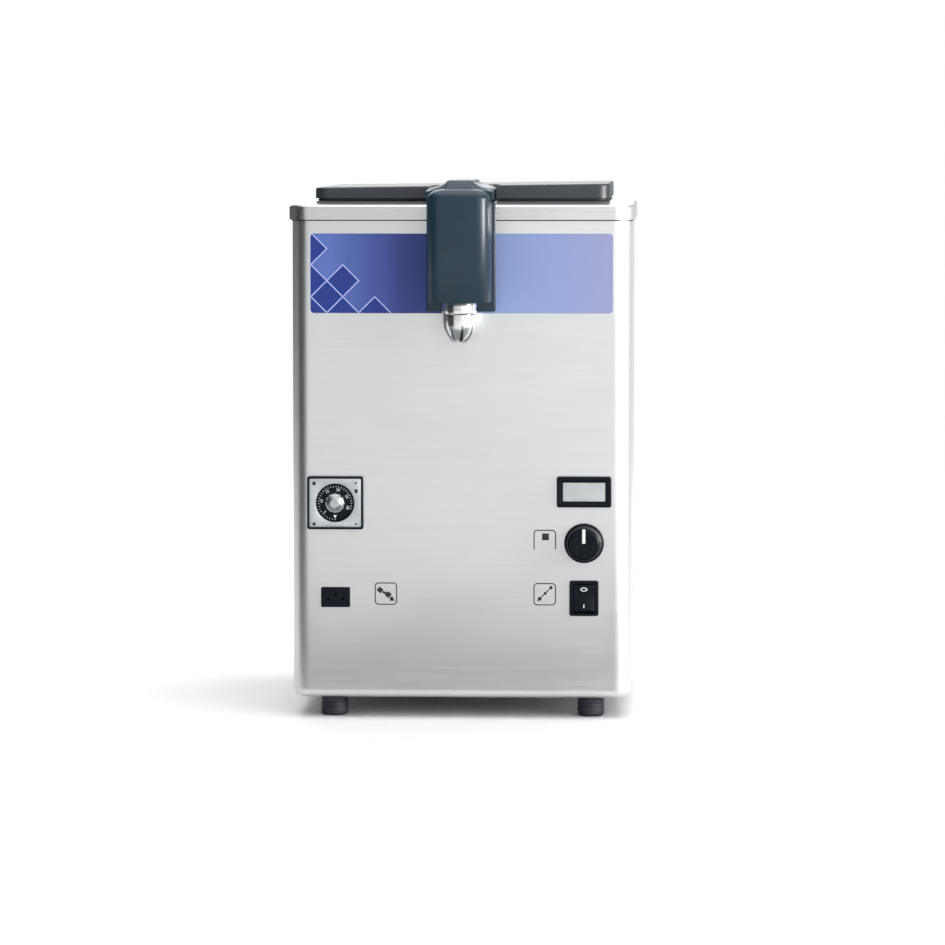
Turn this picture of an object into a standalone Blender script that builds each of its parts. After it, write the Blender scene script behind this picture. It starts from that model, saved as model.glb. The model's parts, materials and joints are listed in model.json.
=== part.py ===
"""Counter-top whipped-cream and soft-ice dispenser, built as an assembly of separate parts.

Units are metres and +Z is up. -Y is the front, where the user stands, and the origin lies under
the middle of the machine, on the surface that it stands on.
"""
import math

import bmesh
import bpy
from mathutils import Matrix, Vector

# ---------------------------------------------------------------- driving dimensions
GAP = 0.0003                 # air between two parts that rest on each other
SHEET = 0.0012               # stainless sheet of the housing

SHELL_HALF = 0.148           # housing, half its width
FRONT = -0.135               # outer face of the front panel
BACK = 0.195                 # outer face of the rear flanges
SHELL_LOW = 0.0175           # lower edge of the housing, on its feet
SHELL_TOP = 0.446
SHELL_CORNER = 0.0158        # upright corners, seen from above
SHELL_BEND = 0.008           # bend along the lower edge
FLANGE = 0.006               # width of the flanges under and behind
SIDE_SLOTS = 5
SIDE_SLOT_LOW = 0.060
SIDE_SLOT_PITCH = 0.016
SIDE_SLOT_HIGH = 0.005
SIDE_SLOT_Y = (0.050, 0.120)
REACH = 0.010                # how far a cutter reaches past the sheet, on both sides
SCREW_HOLE_R = 0.0022
SCREW_X = 0.1290
SCREW_Z = (0.060, 0.400)
SLOT_PITCH = 0.0145          # rear air slots
SLOT_HIGH = 0.0060

DECK_HALF = 0.1507
DECK_OVERHANG = 0.0026
DECK_LOW = 0.435             # lower edge of the deck's skirt
DECK_TOP = 0.451
DECK_CORNER = 0.018

LID_HALF = 0.1287
LID_INSET = 0.022            # lid's edge to the deck's edge
LID_LOW = 0.4533
LID_TOP_LEFT = 0.4627        # the lid's top falls to the left, so water runs off
LID_TOP_RIGHT = 0.4662
LID_CORNER = 0.011
NOTCH_HALF = 0.0295          # opening in the lid for the neck of the head
NOTCH_BACK = -0.0265

TUB_HALF = 0.100
TUB_FRONT = -0.040
TUB_BACK = 0.150
TUB_FLOOR = 0.285
TUB_WALL = 0.001
TUB_CORNER = 0.0052          # inner upright corners

HEAD_HALF = 0.027
HEAD_FRONT = -0.205
HEAD_BACK = -0.1435
HEAD_LOW = 0.3653
HEAD_SHOULDER = 0.456        # where the upright front turns into the sloping top
HEAD_SLOPE_TOP = 0.4617
HUMP_TOP = 0.4698
NECK_HALF = 0.0285
NECK_LOW = 0.4526
NECK_BACK = -0.0275
HEAD_WALL = 0.002

NOZZLE_Y = -0.172            # the nozzle's axis, at x = 0
COLLAR_R = 0.0150
COLLAR_LOW = 0.3544
NOZZLE_TIP = 0.3303
TEETH = 8

GEAR_MODULE = 0.00125
GEAR_TEETH = 12
GEAR_ADDENDUM = 0.92
GEAR_X = GEAR_MODULE * GEAR_TEETH / 2
PUMP_Y = -0.0925
PUMP_LOW = 0.430
PUMP_TOP = 0.458
PUMP_HALF = 0.022
PUMP_HALF_DEPTH = 0.027
PORT_Z = 0.4558              # height of the pump's ports and of the tubes on them

LEFT_X = -0.110              # column of controls on the left
RIGHT_X = 0.1068             # column of controls on the right
TIMER_Z = 0.1887
TIMER_SIZE = (0.0489, 0.0462)
THERMO_Z = 0.1987
THERMO_SIZE = (0.0475, 0.0268)
KNOB_Z = 0.1539
KNOB_R = 0.01725
ROCKER_Z = 0.1058
ROCKER_SIZE = (0.0253, 0.0308)
SOCKET_Z = 0.1060
SOCKET_SIZE = (0.0253, 0.0175)

BAND_HALF = 0.1314
BAND_LOW = 0.3539
BAND_TOP = 0.4230

FOOT_X = 0.1126
FOOT_Y = (-0.110, 0.170)
FOOT_R = 0.01175

FAN_X = -0.072
FAN_Z = 0.097
FAN_R = 0.048
CONDENSER_BACK = 0.1865
CONDENSER_DEPTH = 0.022
CONDENSER_PIPE_R = 0.0032
CONDENSER_PIPE_Y = CONDENSER_BACK - CONDENSER_DEPTH - CONDENSER_PIPE_R - 0.0005
COMPRESSOR = (0.070, 0.075)
INLET = (0.100, 0.060)       # mains inlet in the rear panel, x and z
BUFFER_DEPTH = 0.205         # how far back the rear buffers reach

COLOURS = {
    "stainless": ((0.66, 0.67, 0.67), 0.32, 1.0),
    "bright_steel": ((0.80, 0.81, 0.82), 0.15, 1.0),
    "black_plastic": ((0.030, 0.050, 0.065), 0.38, 0.0),
    "slate_plastic": ((0.055, 0.070, 0.080), 0.42, 0.0),
    "panel_black": ((0.010, 0.014, 0.020), 0.30, 0.0),
    "blue_film": ((0.32, 0.38, 0.68), 0.40, 0.0),
    "silver_face": ((0.62, 0.63, 0.64), 0.35, 0.6),
    "display_grey": ((0.50, 0.54, 0.52), 0.20, 0.0),
    "rubber": ((0.012, 0.013, 0.030), 0.70, 0.0),
    "white_foam": ((0.80, 0.76, 0.62), 0.90, 0.0),
    "copper": ((0.72, 0.36, 0.20), 0.30, 1.0),
    "black_enamel": ((0.015, 0.015, 0.016), 0.35, 0.3),
    "aluminium": ((0.62, 0.63, 0.64), 0.40, 1.0),
    "zinc": ((0.55, 0.56, 0.56), 0.45, 1.0),
    "white_plastic": ((0.78, 0.78, 0.76), 0.35, 0.0),
    "board_green": ((0.02, 0.16, 0.08), 0.50, 0.0),
    "clear_hose": ((0.62, 0.66, 0.66), 0.25, 0.0),
}

parts = bpy.data.collections.new("cream_dispenser")
cutters = bpy.data.collections.new("cutters")


# ---------------------------------------------------------------- tools
def clear_scene():
    for obj in list(bpy.data.objects):
        bpy.data.objects.remove(obj, do_unlink=True)
    bpy.context.scene.collection.children.link(parts)
    bpy.context.scene.collection.children.link(cutters)


def material(name):
    made = bpy.data.materials.get(name)
    if made:
        return made
    colour, roughness, metallic = COLOURS[name]
    made = bpy.data.materials.new(name)
    made.use_nodes = True
    shader = made.node_tree.nodes["Principled BSDF"]
    shader.inputs["Base Color"].default_value = (*colour, 1.0)
    shader.inputs["Roughness"].default_value = roughness
    shader.inputs["Metallic"].default_value = metallic
    return made


def add_object(name, mesh, finish, location=(0, 0, 0), rotation=(0, 0, 0)):
    """Put a mesh in the scene: as a part, or as a cutter when finish is None."""
    obj = bpy.data.objects.new(name, mesh)
    obj.location = location
    obj.rotation_euler = rotation
    if finish is None:
        cutters.objects.link(obj)
        obj.hide_render = True
        obj.display_type = "WIRE"
    else:
        parts.objects.link(obj)
        mesh.materials.append(material(finish))
    return obj


def mesh_from(bm, name, smooth=False):
    bmesh.ops.recalc_face_normals(bm, faces=bm.faces)
    mesh = bpy.data.meshes.new(name)
    bm.to_mesh(mesh)
    bm.free()
    if smooth:
        mesh.shade_smooth()
        mesh.set_sharp_from_angle(angle=math.radians(35))
    return mesh


def cube_bmesh(low, high):
    bm = bmesh.new()
    bmesh.ops.create_cube(bm, size=1.0)
    size = Vector(high) - Vector(low)
    bmesh.ops.scale(bm, vec=size, verts=bm.verts)
    bmesh.ops.translate(bm, vec=(Vector(high) + Vector(low)) / 2, verts=bm.verts)
    return bm


def box(name, low, high, finish, round_edges=0.0, segments=2, pivot=(0, 0, 0)):
    """A block between two corners. Its origin is the pivot."""
    bm = cube_bmesh(low, high)
    bmesh.ops.translate(bm, vec=-Vector(pivot), verts=bm.verts)
    obj = add_object(name, mesh_from(bm, name), finish, pivot)
    if round_edges:
        add_bevel(obj, round_edges, segments)
    return obj


def boxes(name, corners, finish=None):
    """Several separate blocks in one mesh, for cutters."""
    bm = bmesh.new()
    for low, high in corners:
        made = bmesh.ops.create_cube(bm, size=1.0)["verts"]
        bmesh.ops.scale(bm, vec=Vector(high) - Vector(low), verts=made)
        bmesh.ops.translate(bm, vec=(Vector(high) + Vector(low)) / 2, verts=made)
    return add_object(name, mesh_from(bm, name), finish)


QUARTER = math.pi / 2
AXIS_TURN = {"Z": (0, 0, 0), "-Y": (QUARTER, 0, 0), "Y": (-QUARTER, 0, 0), "X": (0, QUARTER, 0)}


def cylinder(name, centre, radius, length, axis, finish, sides=24, tip_radius=None):
    """A cylinder or cone along an axis, its origin in its middle."""
    bm = bmesh.new()
    far = radius if tip_radius is None else tip_radius
    bmesh.ops.create_cone(bm, cap_ends=True, segments=sides, radius1=radius, radius2=far, depth=length)
    return add_object(name, mesh_from(bm, name, smooth=True), finish, centre, AXIS_TURN[axis])


def turned(name, profile, finish, location, axis="Z", steps=32, closed=False):
    """Turn a profile of (radius, height) points, listed from the top down its outer side."""
    mesh = bpy.data.meshes.new(name)
    count = len(profile)
    edges = [(i, i + 1) for i in range(count - 1)]
    if closed:
        edges.append((count - 1, 0))
    mesh.from_pydata([(r, 0, z) for r, z in profile], edges, [])
    obj = add_object(name, mesh, finish, location, AXIS_TURN[axis])
    screw = obj.modifiers.new("turn", "SCREW")
    screw.steps = steps
    screw.render_steps = steps
    screw.use_merge_vertices = True
    screw.merge_threshold = 0.00001
    return obj


def rounded_rectangle(x_low, x_high, y_low, y_high, radius, segments=4):
    """Plan outline, anticlockwise, with round corners."""
    points = []
    centres = (
        (x_high - radius, y_high - radius, 0),
        (x_low + radius, y_high - radius, 90),
        (x_low + radius, y_low + radius, 180),
        (x_high - radius, y_low + radius, 270),
    )
    for x, y, start in centres:
        for step in range(segments + 1):
            angle = math.radians(start + 90 * step / segments)
            points.append((x + radius * math.cos(angle), y + radius * math.sin(angle)))
    return points


def loft(name, rings, finish, cap_start=True, cap_end=True):
    """Skin a stack of rings that have the same number of points."""
    bm = bmesh.new()
    loops = [[bm.verts.new(point) for point in ring] for ring in rings]
    count = len(loops[0])
    for lower, upper in zip(loops, loops[1:]):
        for i in range(count):
            j = (i + 1) % count
            bm.faces.new((lower[i], lower[j], upper[j], upper[i]))
    if cap_start:
        bm.faces.new(list(reversed(loops[0])))
    if cap_end:
        bm.faces.new(loops[-1])
    return add_object(name, mesh_from(bm, name), finish)


def level_ring(x_half, y_low, y_high, radius, z, segments=4):
    outline = rounded_rectangle(-x_half, x_half, y_low, y_high, radius, segments)
    return [(x, y, z) for x, y in outline]


def plate(name, outlines, thickness, finish, location=(0, 0, 0), rotation=(0, 0, 0)):
    """A flat outline, with any holes as further outlines, made from a filled 2D curve."""
    curve = bpy.data.curves.new(name, "CURVE")
    curve.dimensions = "2D"
    curve.fill_mode = "BOTH"
    curve.extrude = thickness / 2
    for outline in outlines:
        spline = curve.splines.new("POLY")
        spline.points.add(len(outline) - 1)
        for point, (x, y) in zip(spline.points, outline):
            point.co = (x, y, 0, 1)
        spline.use_cyclic_u = True
    return curve_to_part(name, curve, finish, location, rotation)


def curve_to_part(name, curve, finish, location=(0, 0, 0), rotation=(0, 0, 0)):
    """Turn a curve into a closed mesh, so that it can be cut, bevelled or joined."""
    source = bpy.data.objects.new(name + "_curve", curve)
    source.location = location
    source.rotation_euler = rotation
    bpy.context.scene.collection.objects.link(source)
    bpy.context.view_layer.update()
    evaluated = source.evaluated_get(bpy.context.evaluated_depsgraph_get())
    mesh = bpy.data.meshes.new_from_object(evaluated)
    mesh.name = name
    place = source.matrix_world.copy()
    bpy.data.objects.remove(source, do_unlink=True)
    bm = bmesh.new()
    bm.from_mesh(mesh)
    bmesh.ops.remove_doubles(bm, verts=bm.verts, dist=0.00001)
    bmesh.ops.recalc_face_normals(bm, faces=bm.faces)
    bm.to_mesh(mesh)
    bm.free()
    mesh.materials.clear()
    obj = add_object(name, mesh, finish)
    obj.matrix_world = place
    return obj


def smooth_route(points, spacing=3):
    """Points of a smooth curve through the given ones (Catmull-Rom)."""
    knots = [Vector(p) for p in points]
    knots = [2 * knots[0] - knots[1]] + knots + [2 * knots[-1] - knots[-2]]
    route = []
    for a, b, c, d in zip(knots, knots[1:], knots[2:], knots[3:]):
        for step in range(spacing):
            t = step / spacing
            route.append(0.5 * (2 * b + (c - a) * t + (2 * a - 5 * b + 4 * c - d) * t ** 2
                                + (3 * b - a - 3 * c + d) * t ** 3))
    route.append(knots[-2])
    return route


def pipe(name, route, radius, finish):
    """A round tube or wire along a route, with filled ends."""
    curve = bpy.data.curves.new(name, "CURVE")
    curve.dimensions = "3D"
    curve.bevel_depth = radius
    curve.bevel_resolution = 2
    curve.use_fill_caps = True
    spline = curve.splines.new("POLY")
    spline.points.add(len(route) - 1)
    for point, place in zip(spline.points, route):
        point.co = (*place, 1)
    obj = curve_to_part(name, curve, finish)
    obj.data.shade_smooth()
    obj.data.set_sharp_from_angle(angle=math.radians(50))
    return obj


def add_bevel(obj, width, segments=2, angle=40):
    bevel = obj.modifiers.new("round", "BEVEL")
    bevel.width = width
    bevel.segments = segments
    bevel.limit_method = "ANGLE"
    bevel.angle_limit = math.radians(angle)


def add_solidify(obj, thickness, offset=-1.0):
    solid = obj.modifiers.new("sheet", "SOLIDIFY")
    solid.thickness = thickness
    solid.offset = offset
    solid.use_even_offset = True


def boolean(obj, tool, operation="DIFFERENCE"):
    """Cut a part with a tool, or join the tool to it."""
    change = obj.modifiers.new(operation.lower(), "BOOLEAN")
    change.operation = operation
    change.object = tool


def face_up(obj, pick, upward=True):
    """Turn an open sheet so that its picked face, the lowest or the highest, looks up or down."""
    bm = bmesh.new()
    bm.from_mesh(obj.data)
    face = pick(bm.faces, key=lambda f: f.calc_center_median().z)
    if (face.normal.z > 0) != upward:
        bmesh.ops.reverse_faces(bm, faces=bm.faces)
    bm.to_mesh(obj.data)
    bm.free()


def cut(obj, *tools):
    for tool in tools:
        boolean(obj, tool)


def weld_on(obj, *tools):
    for tool in tools:
        boolean(obj, tool, "UNION")


# ---------------------------------------------------------------- housing
def outer_shell():
    """Wrap-round stainless housing: front, sides, and flanges under and behind."""
    bm = cube_bmesh((-SHELL_HALF, FRONT, SHELL_LOW), (SHELL_HALF, BACK, SHELL_TOP))

    def round_off(choose, radius, segments):
        edges = [e for e in bm.edges if choose(e)]
        bmesh.ops.bevel(bm, geom=edges, offset=radius, segments=segments, profile=0.5, affect="EDGES")

    def upright(e, y):
        same_place = (e.verts[0].co.xy - e.verts[1].co.xy).length < 1e-6
        return same_place and abs(e.verts[0].co.y - y) < 1e-6

    round_off(lambda e: upright(e, FRONT), SHELL_CORNER, 4)
    round_off(lambda e: upright(e, BACK), SHELL_CORNER, 4)
    round_off(lambda e: all(v.co.z < SHELL_LOW + 1e-6 for v in e.verts), SHELL_BEND, 2)

    bm.faces.ensure_lookup_table()
    back = max(bm.faces, key=lambda f: f.calc_center_median().y)
    under = min(bm.faces, key=lambda f: f.calc_center_median().z)
    top = max(bm.faces, key=lambda f: f.calc_center_median().z)
    bmesh.ops.inset_region(bm, faces=[back], thickness=FLANGE)
    bmesh.ops.inset_region(bm, faces=[under], thickness=FLANGE)
    bmesh.ops.delete(bm, geom=[back, under, top], context="FACES")
    shell = add_object("outer_shell", mesh_from(bm, "outer_shell"), "stainless")
    add_solidify(shell, SHEET)

    def window(x, z, width, height):
        return ((x - width / 2, FRONT - REACH, z - height / 2), (x + width / 2, FRONT + REACH, z + height / 2))

    openings = (
        window(LEFT_X, TIMER_Z, 0.0455, 0.0430),
        window(RIGHT_X, THERMO_Z, 0.0445, 0.0240),
        window(RIGHT_X, ROCKER_Z, 0.0228, 0.0283),
        window(LEFT_X, SOCKET_Z, 0.0224, 0.0146),
    )
    stem_hole = cylinder("cut_stem_hole", (RIGHT_X, FRONT, KNOB_Z), 0.0045, 0.02, "Y", None, 16)
    slots = []
    for side in (-1, 1):
        for row in range(SIDE_SLOTS):
            z = SIDE_SLOT_LOW + SIDE_SLOT_PITCH * row
            near, far = sorted((side * (SHELL_HALF - REACH), side * (SHELL_HALF + REACH)))
            slots.append(((near, SIDE_SLOT_Y[0], z), (far, SIDE_SLOT_Y[1], z + SIDE_SLOT_HIGH)))
    cut(shell, boxes("cut_front_openings", openings), stem_hole, boxes("cut_side_slots", slots))
    for i, (x, z) in enumerate(rear_screw_places(), start=1):
        cut(shell, cylinder(f"cut_flange_{i}", (x, BACK, z), SCREW_HOLE_R, 2 * REACH, "Y", None, 12))
    return shell


def rear_screw_places():
    return [(x, z) for z in SCREW_Z for x in (-SCREW_X, SCREW_X)]


def top_deck():
    """Folded cap with a skirt, a gently sloping border, the tub opening and the pump opening."""
    y_low = FRONT - DECK_OVERHANG
    y_high = BACK + DECK_OVERHANG
    border = (
        (0.0, DECK_LOW),
        (0.0, DECK_TOP - 0.0058),
        (0.0009, DECK_TOP - 0.0040),
        (0.0030, DECK_TOP - 0.0029),
        (LID_INSET - 0.001, DECK_TOP),
    )
    rings = []
    for inset, z in border:
        corner = max(DECK_CORNER - inset, 0.004)
        rings.append(level_ring(DECK_HALF - inset, y_low + inset, y_high - inset, corner, z))
    clear = TUB_WALL + GAP
    rings.append(level_ring(TUB_HALF + clear, TUB_FRONT - clear, TUB_BACK + clear, TUB_CORNER + clear, DECK_TOP))
    deck = loft("top_deck", rings, "stainless", cap_start=False, cap_end=False)
    face_up(deck, max)
    add_solidify(deck, SHEET)
    room = 0.002
    low = (-PUMP_HALF - room, PUMP_Y - PUMP_HALF_DEPTH - room, DECK_TOP - 0.01)
    high = (PUMP_HALF + room, PUMP_Y + PUMP_HALF_DEPTH + room, DECK_TOP + 0.01)
    cut(deck, box("cut_pump_opening", low, high, None))
    return deck


def rear_panel():
    """Flat rear cover with air slots, the inlet cut-out and screw holes."""
    y_low = BACK + GAP
    panel = box("rear_panel", (-0.139, y_low, 0.026), (0.139, y_low + SHEET, 0.432), "stainless")
    slots = []
    for column in (-0.125, -0.069):
        for row in range(8):
            z = 0.046 + SLOT_PITCH * row
            slots.append(((column, BACK - REACH, z), (column + 0.048, BACK + REACH, z + SLOT_HIGH)))
    for row in range(4):
        z = 0.250 + SLOT_PITCH * row
        slots.append(((-0.040, BACK - REACH, z), (0.040, BACK + REACH, z + SLOT_HIGH)))
    x, z = INLET
    slots.append(((x - 0.0142, BACK - REACH, z - 0.0107), (x + 0.0142, BACK + REACH, z + 0.0107)))
    cut(panel, boxes("cut_rear_slots", slots))
    for i, (x, z) in enumerate(rear_screw_places(), start=1):
        cut(panel, cylinder(f"cut_panel_{i}", (x, BACK, z), SCREW_HOLE_R, 2 * REACH, "Y", None, 12))
        rear_screw(i, x, z)


def rear_screw(number, x, z):
    """Pan-head screw through the rear panel and the housing's flange."""
    head = 0.0030
    profile = ((0, head), (0.0020, head * 0.93), (0.0034, head * 0.55), (0.0038, 0),
               (0.0018, 0), (0.0018, -0.0075), (0, -0.0085))
    screw = turned(f"rear_screw_{number}", profile, "zinc", (x, BACK + 2 * GAP + SHEET, z), "Y", 8)
    slot = box(f"cut_screw_slot_{number}", (-0.0005, -0.005, head - 0.0013), (0.0005, 0.005, head + 0.002), None)
    slot.location = screw.location
    slot.rotation_euler = screw.rotation_euler
    cut(screw, slot)


def base_pan():
    """Folded tray that carries the works and the feet."""
    z = SHELL_LOW + SHEET + GAP
    rings = [
        level_ring(0.1385, FRONT + 0.0095, BACK - 0.0100, 0.010, z + 0.014, 3),
        level_ring(0.1385, FRONT + 0.0095, BACK - 0.0100, 0.010, z + 0.0015, 3),
        level_ring(0.1370, FRONT + 0.0110, BACK - 0.0115, 0.0085, z, 3),
    ]
    pan = loft("base_pan", rings, "zinc", cap_start=False, cap_end=True)
    face_up(pan, min, upward=False)
    add_solidify(pan, SHEET)
    return pan


def feet():
    """Four rubber feet: a recessed sole, a rounded rim, and a neck up to the pan."""
    top = SHELL_LOW + SHEET
    profile = ((0.0045, top), (0.0095, top), (0.0095, SHELL_LOW - GAP), (FOOT_R, SHELL_LOW - GAP),
               (FOOT_R, 0.0026), (FOOT_R - 0.0022, 0.0), (0.0045, 0.0))
    for row, y in zip(("front", "rear"), FOOT_Y):
        for side, x in (("left", -FOOT_X), ("right", FOOT_X)):
            turned(f"foot_{row}_{side}", profile, "rubber", (x, y, 0), steps=16, closed=True)


def wall_buffers():
    """Rubber buffers that keep the air slots clear of a wall."""
    face = BACK + SHEET + 2 * GAP
    depth = BUFFER_DEPTH - face
    profile = ((0, depth), (0.0085, depth), (0.0100, depth - 0.0015), (0.0120, 0), (0, 0))
    for side, x in (("left", -0.100), ("right", 0.100)):
        turned(f"wall_buffer_{side}", profile, "rubber", (x, face, 0.380), "Y", 20)


def front_band():
    """Thin printed film across the top of the front panel."""
    half = (BAND_TOP - BAND_LOW) / 2
    outline = rounded_rectangle(-BAND_HALF, BAND_HALF, -half, half, 0.0032, 4)
    middle = (0, FRONT - GAP - 0.0002, (BAND_TOP + BAND_LOW) / 2)
    plate("front_band", [outline], 0.0004, "blue_film", middle, (math.pi / 2, 0, 0))


# ---------------------------------------------------------------- controls
def framed_case(name, x, z, size, proud, body, depth, finish):
    """A panel instrument: a frame in front of the panel, and a body through its cut-out."""
    width, height = size
    low = (x - width / 2, FRONT - GAP - proud, z - height / 2)
    high = (x + width / 2, FRONT - GAP, z + height / 2)
    case = box(name, low, high, finish)
    low = (x - body[0] / 2, FRONT - 0.002, z - body[1] / 2)
    high = (x + body[0] / 2, FRONT + depth, z + body[1] / 2)
    weld_on(case, box("join_" + name, low, high, None))
    return case


def timer():
    """Dial timer: a framed case with a recessed face, and a dial with a skirt and a hub."""
    proud = 0.0042
    case = framed_case("timer_case", LEFT_X, TIMER_Z, TIMER_SIZE, proud, (0.0448, 0.0424), 0.058, "silver_face")
    face = FRONT - GAP - proud
    recess_r = 0.0168
    cut(case, cylinder("cut_timer_well", (LEFT_X, face, TIMER_Z), recess_r, 0.0028, "Y", None, 28))
    cut(case, cylinder("cut_timer_bore", (LEFT_X, face + 0.004, TIMER_Z), 0.0032, 0.016, "Y", None, 16))
    profile = ((0, 0.0088), (0.0050, 0.0088), (0.0074, 0.0078), (0.0083, 0.0060), (0.0086, 0.0016),
               (0.0158, 0.0008), (0.0160, 0), (0.0028, 0), (0.0028, -0.0060), (0, -0.0060))
    turned("timer_dial", profile, "panel_black", (LEFT_X, face + 0.0011, TIMER_Z), "-Y", 28)


def thermometer():
    """Panel thermometer: a dark frame round a grey window."""
    proud = 0.0040
    case = framed_case("thermometer_case", RIGHT_X, THERMO_Z, THERMO_SIZE, proud, (0.0438, 0.0234), 0.030,
                       "panel_black")
    face = FRONT - GAP - proud
    half_w, half_h = 0.0190, 0.0087
    low = (RIGHT_X - half_w, face - 0.002, THERMO_Z - half_h)
    high = (RIGHT_X + half_w, face + 0.0022, THERMO_Z + half_h)
    cut(case, box("cut_window", low, high, None))
    low = (low[0] + GAP, face + 0.0009, low[2] + GAP)
    high = (high[0] - GAP, face + 0.0022 - GAP, high[2] - GAP)
    box("thermometer_window", low, high, "display_grey")


def power_switch():
    """Rocker switch: a frame with a pocket, and a button on trunnions."""
    frame = framed_case("rocker_frame", RIGHT_X, ROCKER_Z, ROCKER_SIZE, 0.0027, (0.0220, 0.0275), 0.022,
                        "panel_black")
    pocket_low = (RIGHT_X - 0.0093, FRONT - 0.01, ROCKER_Z - 0.0129)
    pocket_high = (RIGHT_X + 0.0093, FRONT + 0.010, ROCKER_Z + 0.0129)
    pivot = (RIGHT_X, FRONT + 0.0005, ROCKER_Z)
    cut(frame, box("cut_rocker_pocket", pocket_low, pocket_high, None))
    cut(frame, cylinder("cut_trunnions", pivot, 0.0015, 0.0214, "X", None, 16))

    out, reach, rear = 0.0054, 0.0118, -0.0030
    side_view = (
        (0.0036, 0.0), (out - 0.0004, reach - 0.0008), (out - 0.0012, reach), (rear, reach - 0.0004),
        (rear - 0.0016, 0.0), (rear, -reach + 0.0004), (out - 0.0012, -reach), (out - 0.0004, -reach + 0.0008))
    button = plate("rocker_button", [side_view], 0.0178, "panel_black")
    # the outline's x is outward and its y is up; the plate's thickness lies along the row of trunnions
    tilt = Matrix.Rotation(math.radians(-8), 4, "X")
    stand_up = Matrix(((0, 0, -1, 0), (-1, 0, 0, 0), (0, 1, 0, 0), (0, 0, 0, 1)))
    button.matrix_world = Matrix.Translation(pivot) @ tilt @ stand_up
    weld_on(button, cylinder("join_trunnions", pivot, 0.0012, 0.0206, "X", None, 16))


def foot_switch_socket():
    """Three-pin socket for a foot switch, in the lower left of the panel."""
    socket = framed_case("foot_switch_socket", LEFT_X, SOCKET_Z, SOCKET_SIZE, 0.0012, (0.0218, 0.0140), 0.020,
                         "panel_black")
    pins = ((-0.0065, -0.0018), (0.0, 0.0026), (0.0065, -0.0018))
    for i, (dx, dz) in enumerate(pins, start=1):
        tool = cylinder(f"cut_pin_{i}", (LEFT_X + dx, FRONT, SOCKET_Z + dz), 0.0013, 0.018, "Y", None, 12)
        cut(socket, tool)


def air_control():
    """Air-volume control: a knob with a stem, a valve body, its needle, and the hose to the pump."""
    start = FRONT - 0.0006
    profile = ((0, 0.0155), (0.0118, 0.0155), (0.0134, 0.0149), (0.0142, 0.0137), (0.0152, 0.0042),
               (0.0162, 0.0030), (KNOB_R, 0.0022), (KNOB_R, 0.0), (0.0030, 0.0), (0.0030, -0.0170), (0, -0.0170))
    turned("air_knob", profile, "panel_black", (RIGHT_X, start, KNOB_Z), "-Y", 28)

    valve_front = FRONT + SHEET + GAP
    rear = FRONT + 0.044
    valve = cylinder("air_valve", (RIGHT_X, (valve_front + rear) / 2, KNOB_Z), 0.0090, rear - valve_front, "Y",
                     "aluminium", 24)
    bore_end = rear - 0.003
    cut(valve, cylinder("cut_valve_bore", (RIGHT_X, (FRONT + bore_end) / 2, KNOB_Z), 0.0034, bore_end - FRONT,
                        "Y", None, 20))
    cut(valve, cylinder("cut_valve_outlet", (RIGHT_X, rear, KNOB_Z), 0.0015, 0.012, "Y", None, 12))
    tail = FRONT + 0.0195
    profile = ((0, 0), (0.0026, 0), (0.0026, -0.0120), (0.0006, -0.0190), (0, -0.0190))
    turned("air_needle", profile, "bright_steel", (RIGHT_X, tail, KNOB_Z), "-Y", 20)

    seat = (0.0145, PUMP_Y - 0.014)
    route = smooth_route((
        (RIGHT_X, rear + GAP, KNOB_Z), (RIGHT_X, rear + 0.004, KNOB_Z), (RIGHT_X, rear + 0.009, KNOB_Z),
        (RIGHT_X - 0.004, rear + 0.017, KNOB_Z + 0.020),
        (RIGHT_X - 0.020, rear + 0.010, KNOB_Z + 0.090), (0.050, -0.100, 0.330), (0.020, seat[1], 0.385),
        (*seat, 0.410), (*seat, 0.422), (*seat, PUMP_LOW - GAP)), 3)
    pipe("air_hose", route, 0.0030, "clear_hose")


# ---------------------------------------------------------------- cream tub and cooling
def tub():
    """Deep-drawn tub with a flange that rests on the deck."""
    lip = DECK_TOP + GAP + TUB_WALL
    rings = [
        level_ring(TUB_HALF + 0.010, TUB_FRONT - 0.009, TUB_BACK + 0.010, 0.022, lip),
        level_ring(TUB_HALF + 0.0005, TUB_FRONT - 0.0005, TUB_BACK + 0.0005, TUB_CORNER + 0.0005, lip),
        level_ring(TUB_HALF, TUB_FRONT, TUB_BACK, TUB_CORNER, lip - 0.0015),
        level_ring(TUB_HALF - 0.0010, TUB_FRONT + 0.001, TUB_BACK - 0.001, TUB_CORNER - 0.0004, TUB_FLOOR + 0.0055),
        level_ring(TUB_HALF - 0.0024, TUB_FRONT + 0.0024, TUB_BACK - 0.0024, TUB_CORNER - 0.0008, TUB_FLOOR + 0.0017),
        level_ring(TUB_HALF - 0.0060, TUB_FRONT + 0.0060, TUB_BACK - 0.0060, TUB_CORNER - 0.0015, TUB_FLOOR),
    ]
    vessel = loft("tub", rings, "bright_steel", cap_start=False, cap_end=True)
    face_up(vessel, min)
    add_solidify(vessel, TUB_WALL)


COIL_R = 0.004
COIL_X = TUB_HALF + TUB_WALL + 0.0052
COIL_Y = (TUB_FRONT - TUB_WALL - 0.0052, TUB_BACK + TUB_WALL + 0.0052)
COIL_LOW = TUB_FLOOR + 0.012
COIL_TURNS = 4
COIL_PITCH = 0.032


def coil_tails():
    """Where the evaporator's two ends go down through the insulation, beside the tub."""
    return (-COIL_X, COIL_Y[0] + 0.030), (COIL_X + COIL_R * 2.4, COIL_Y[1] - 0.030)


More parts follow.
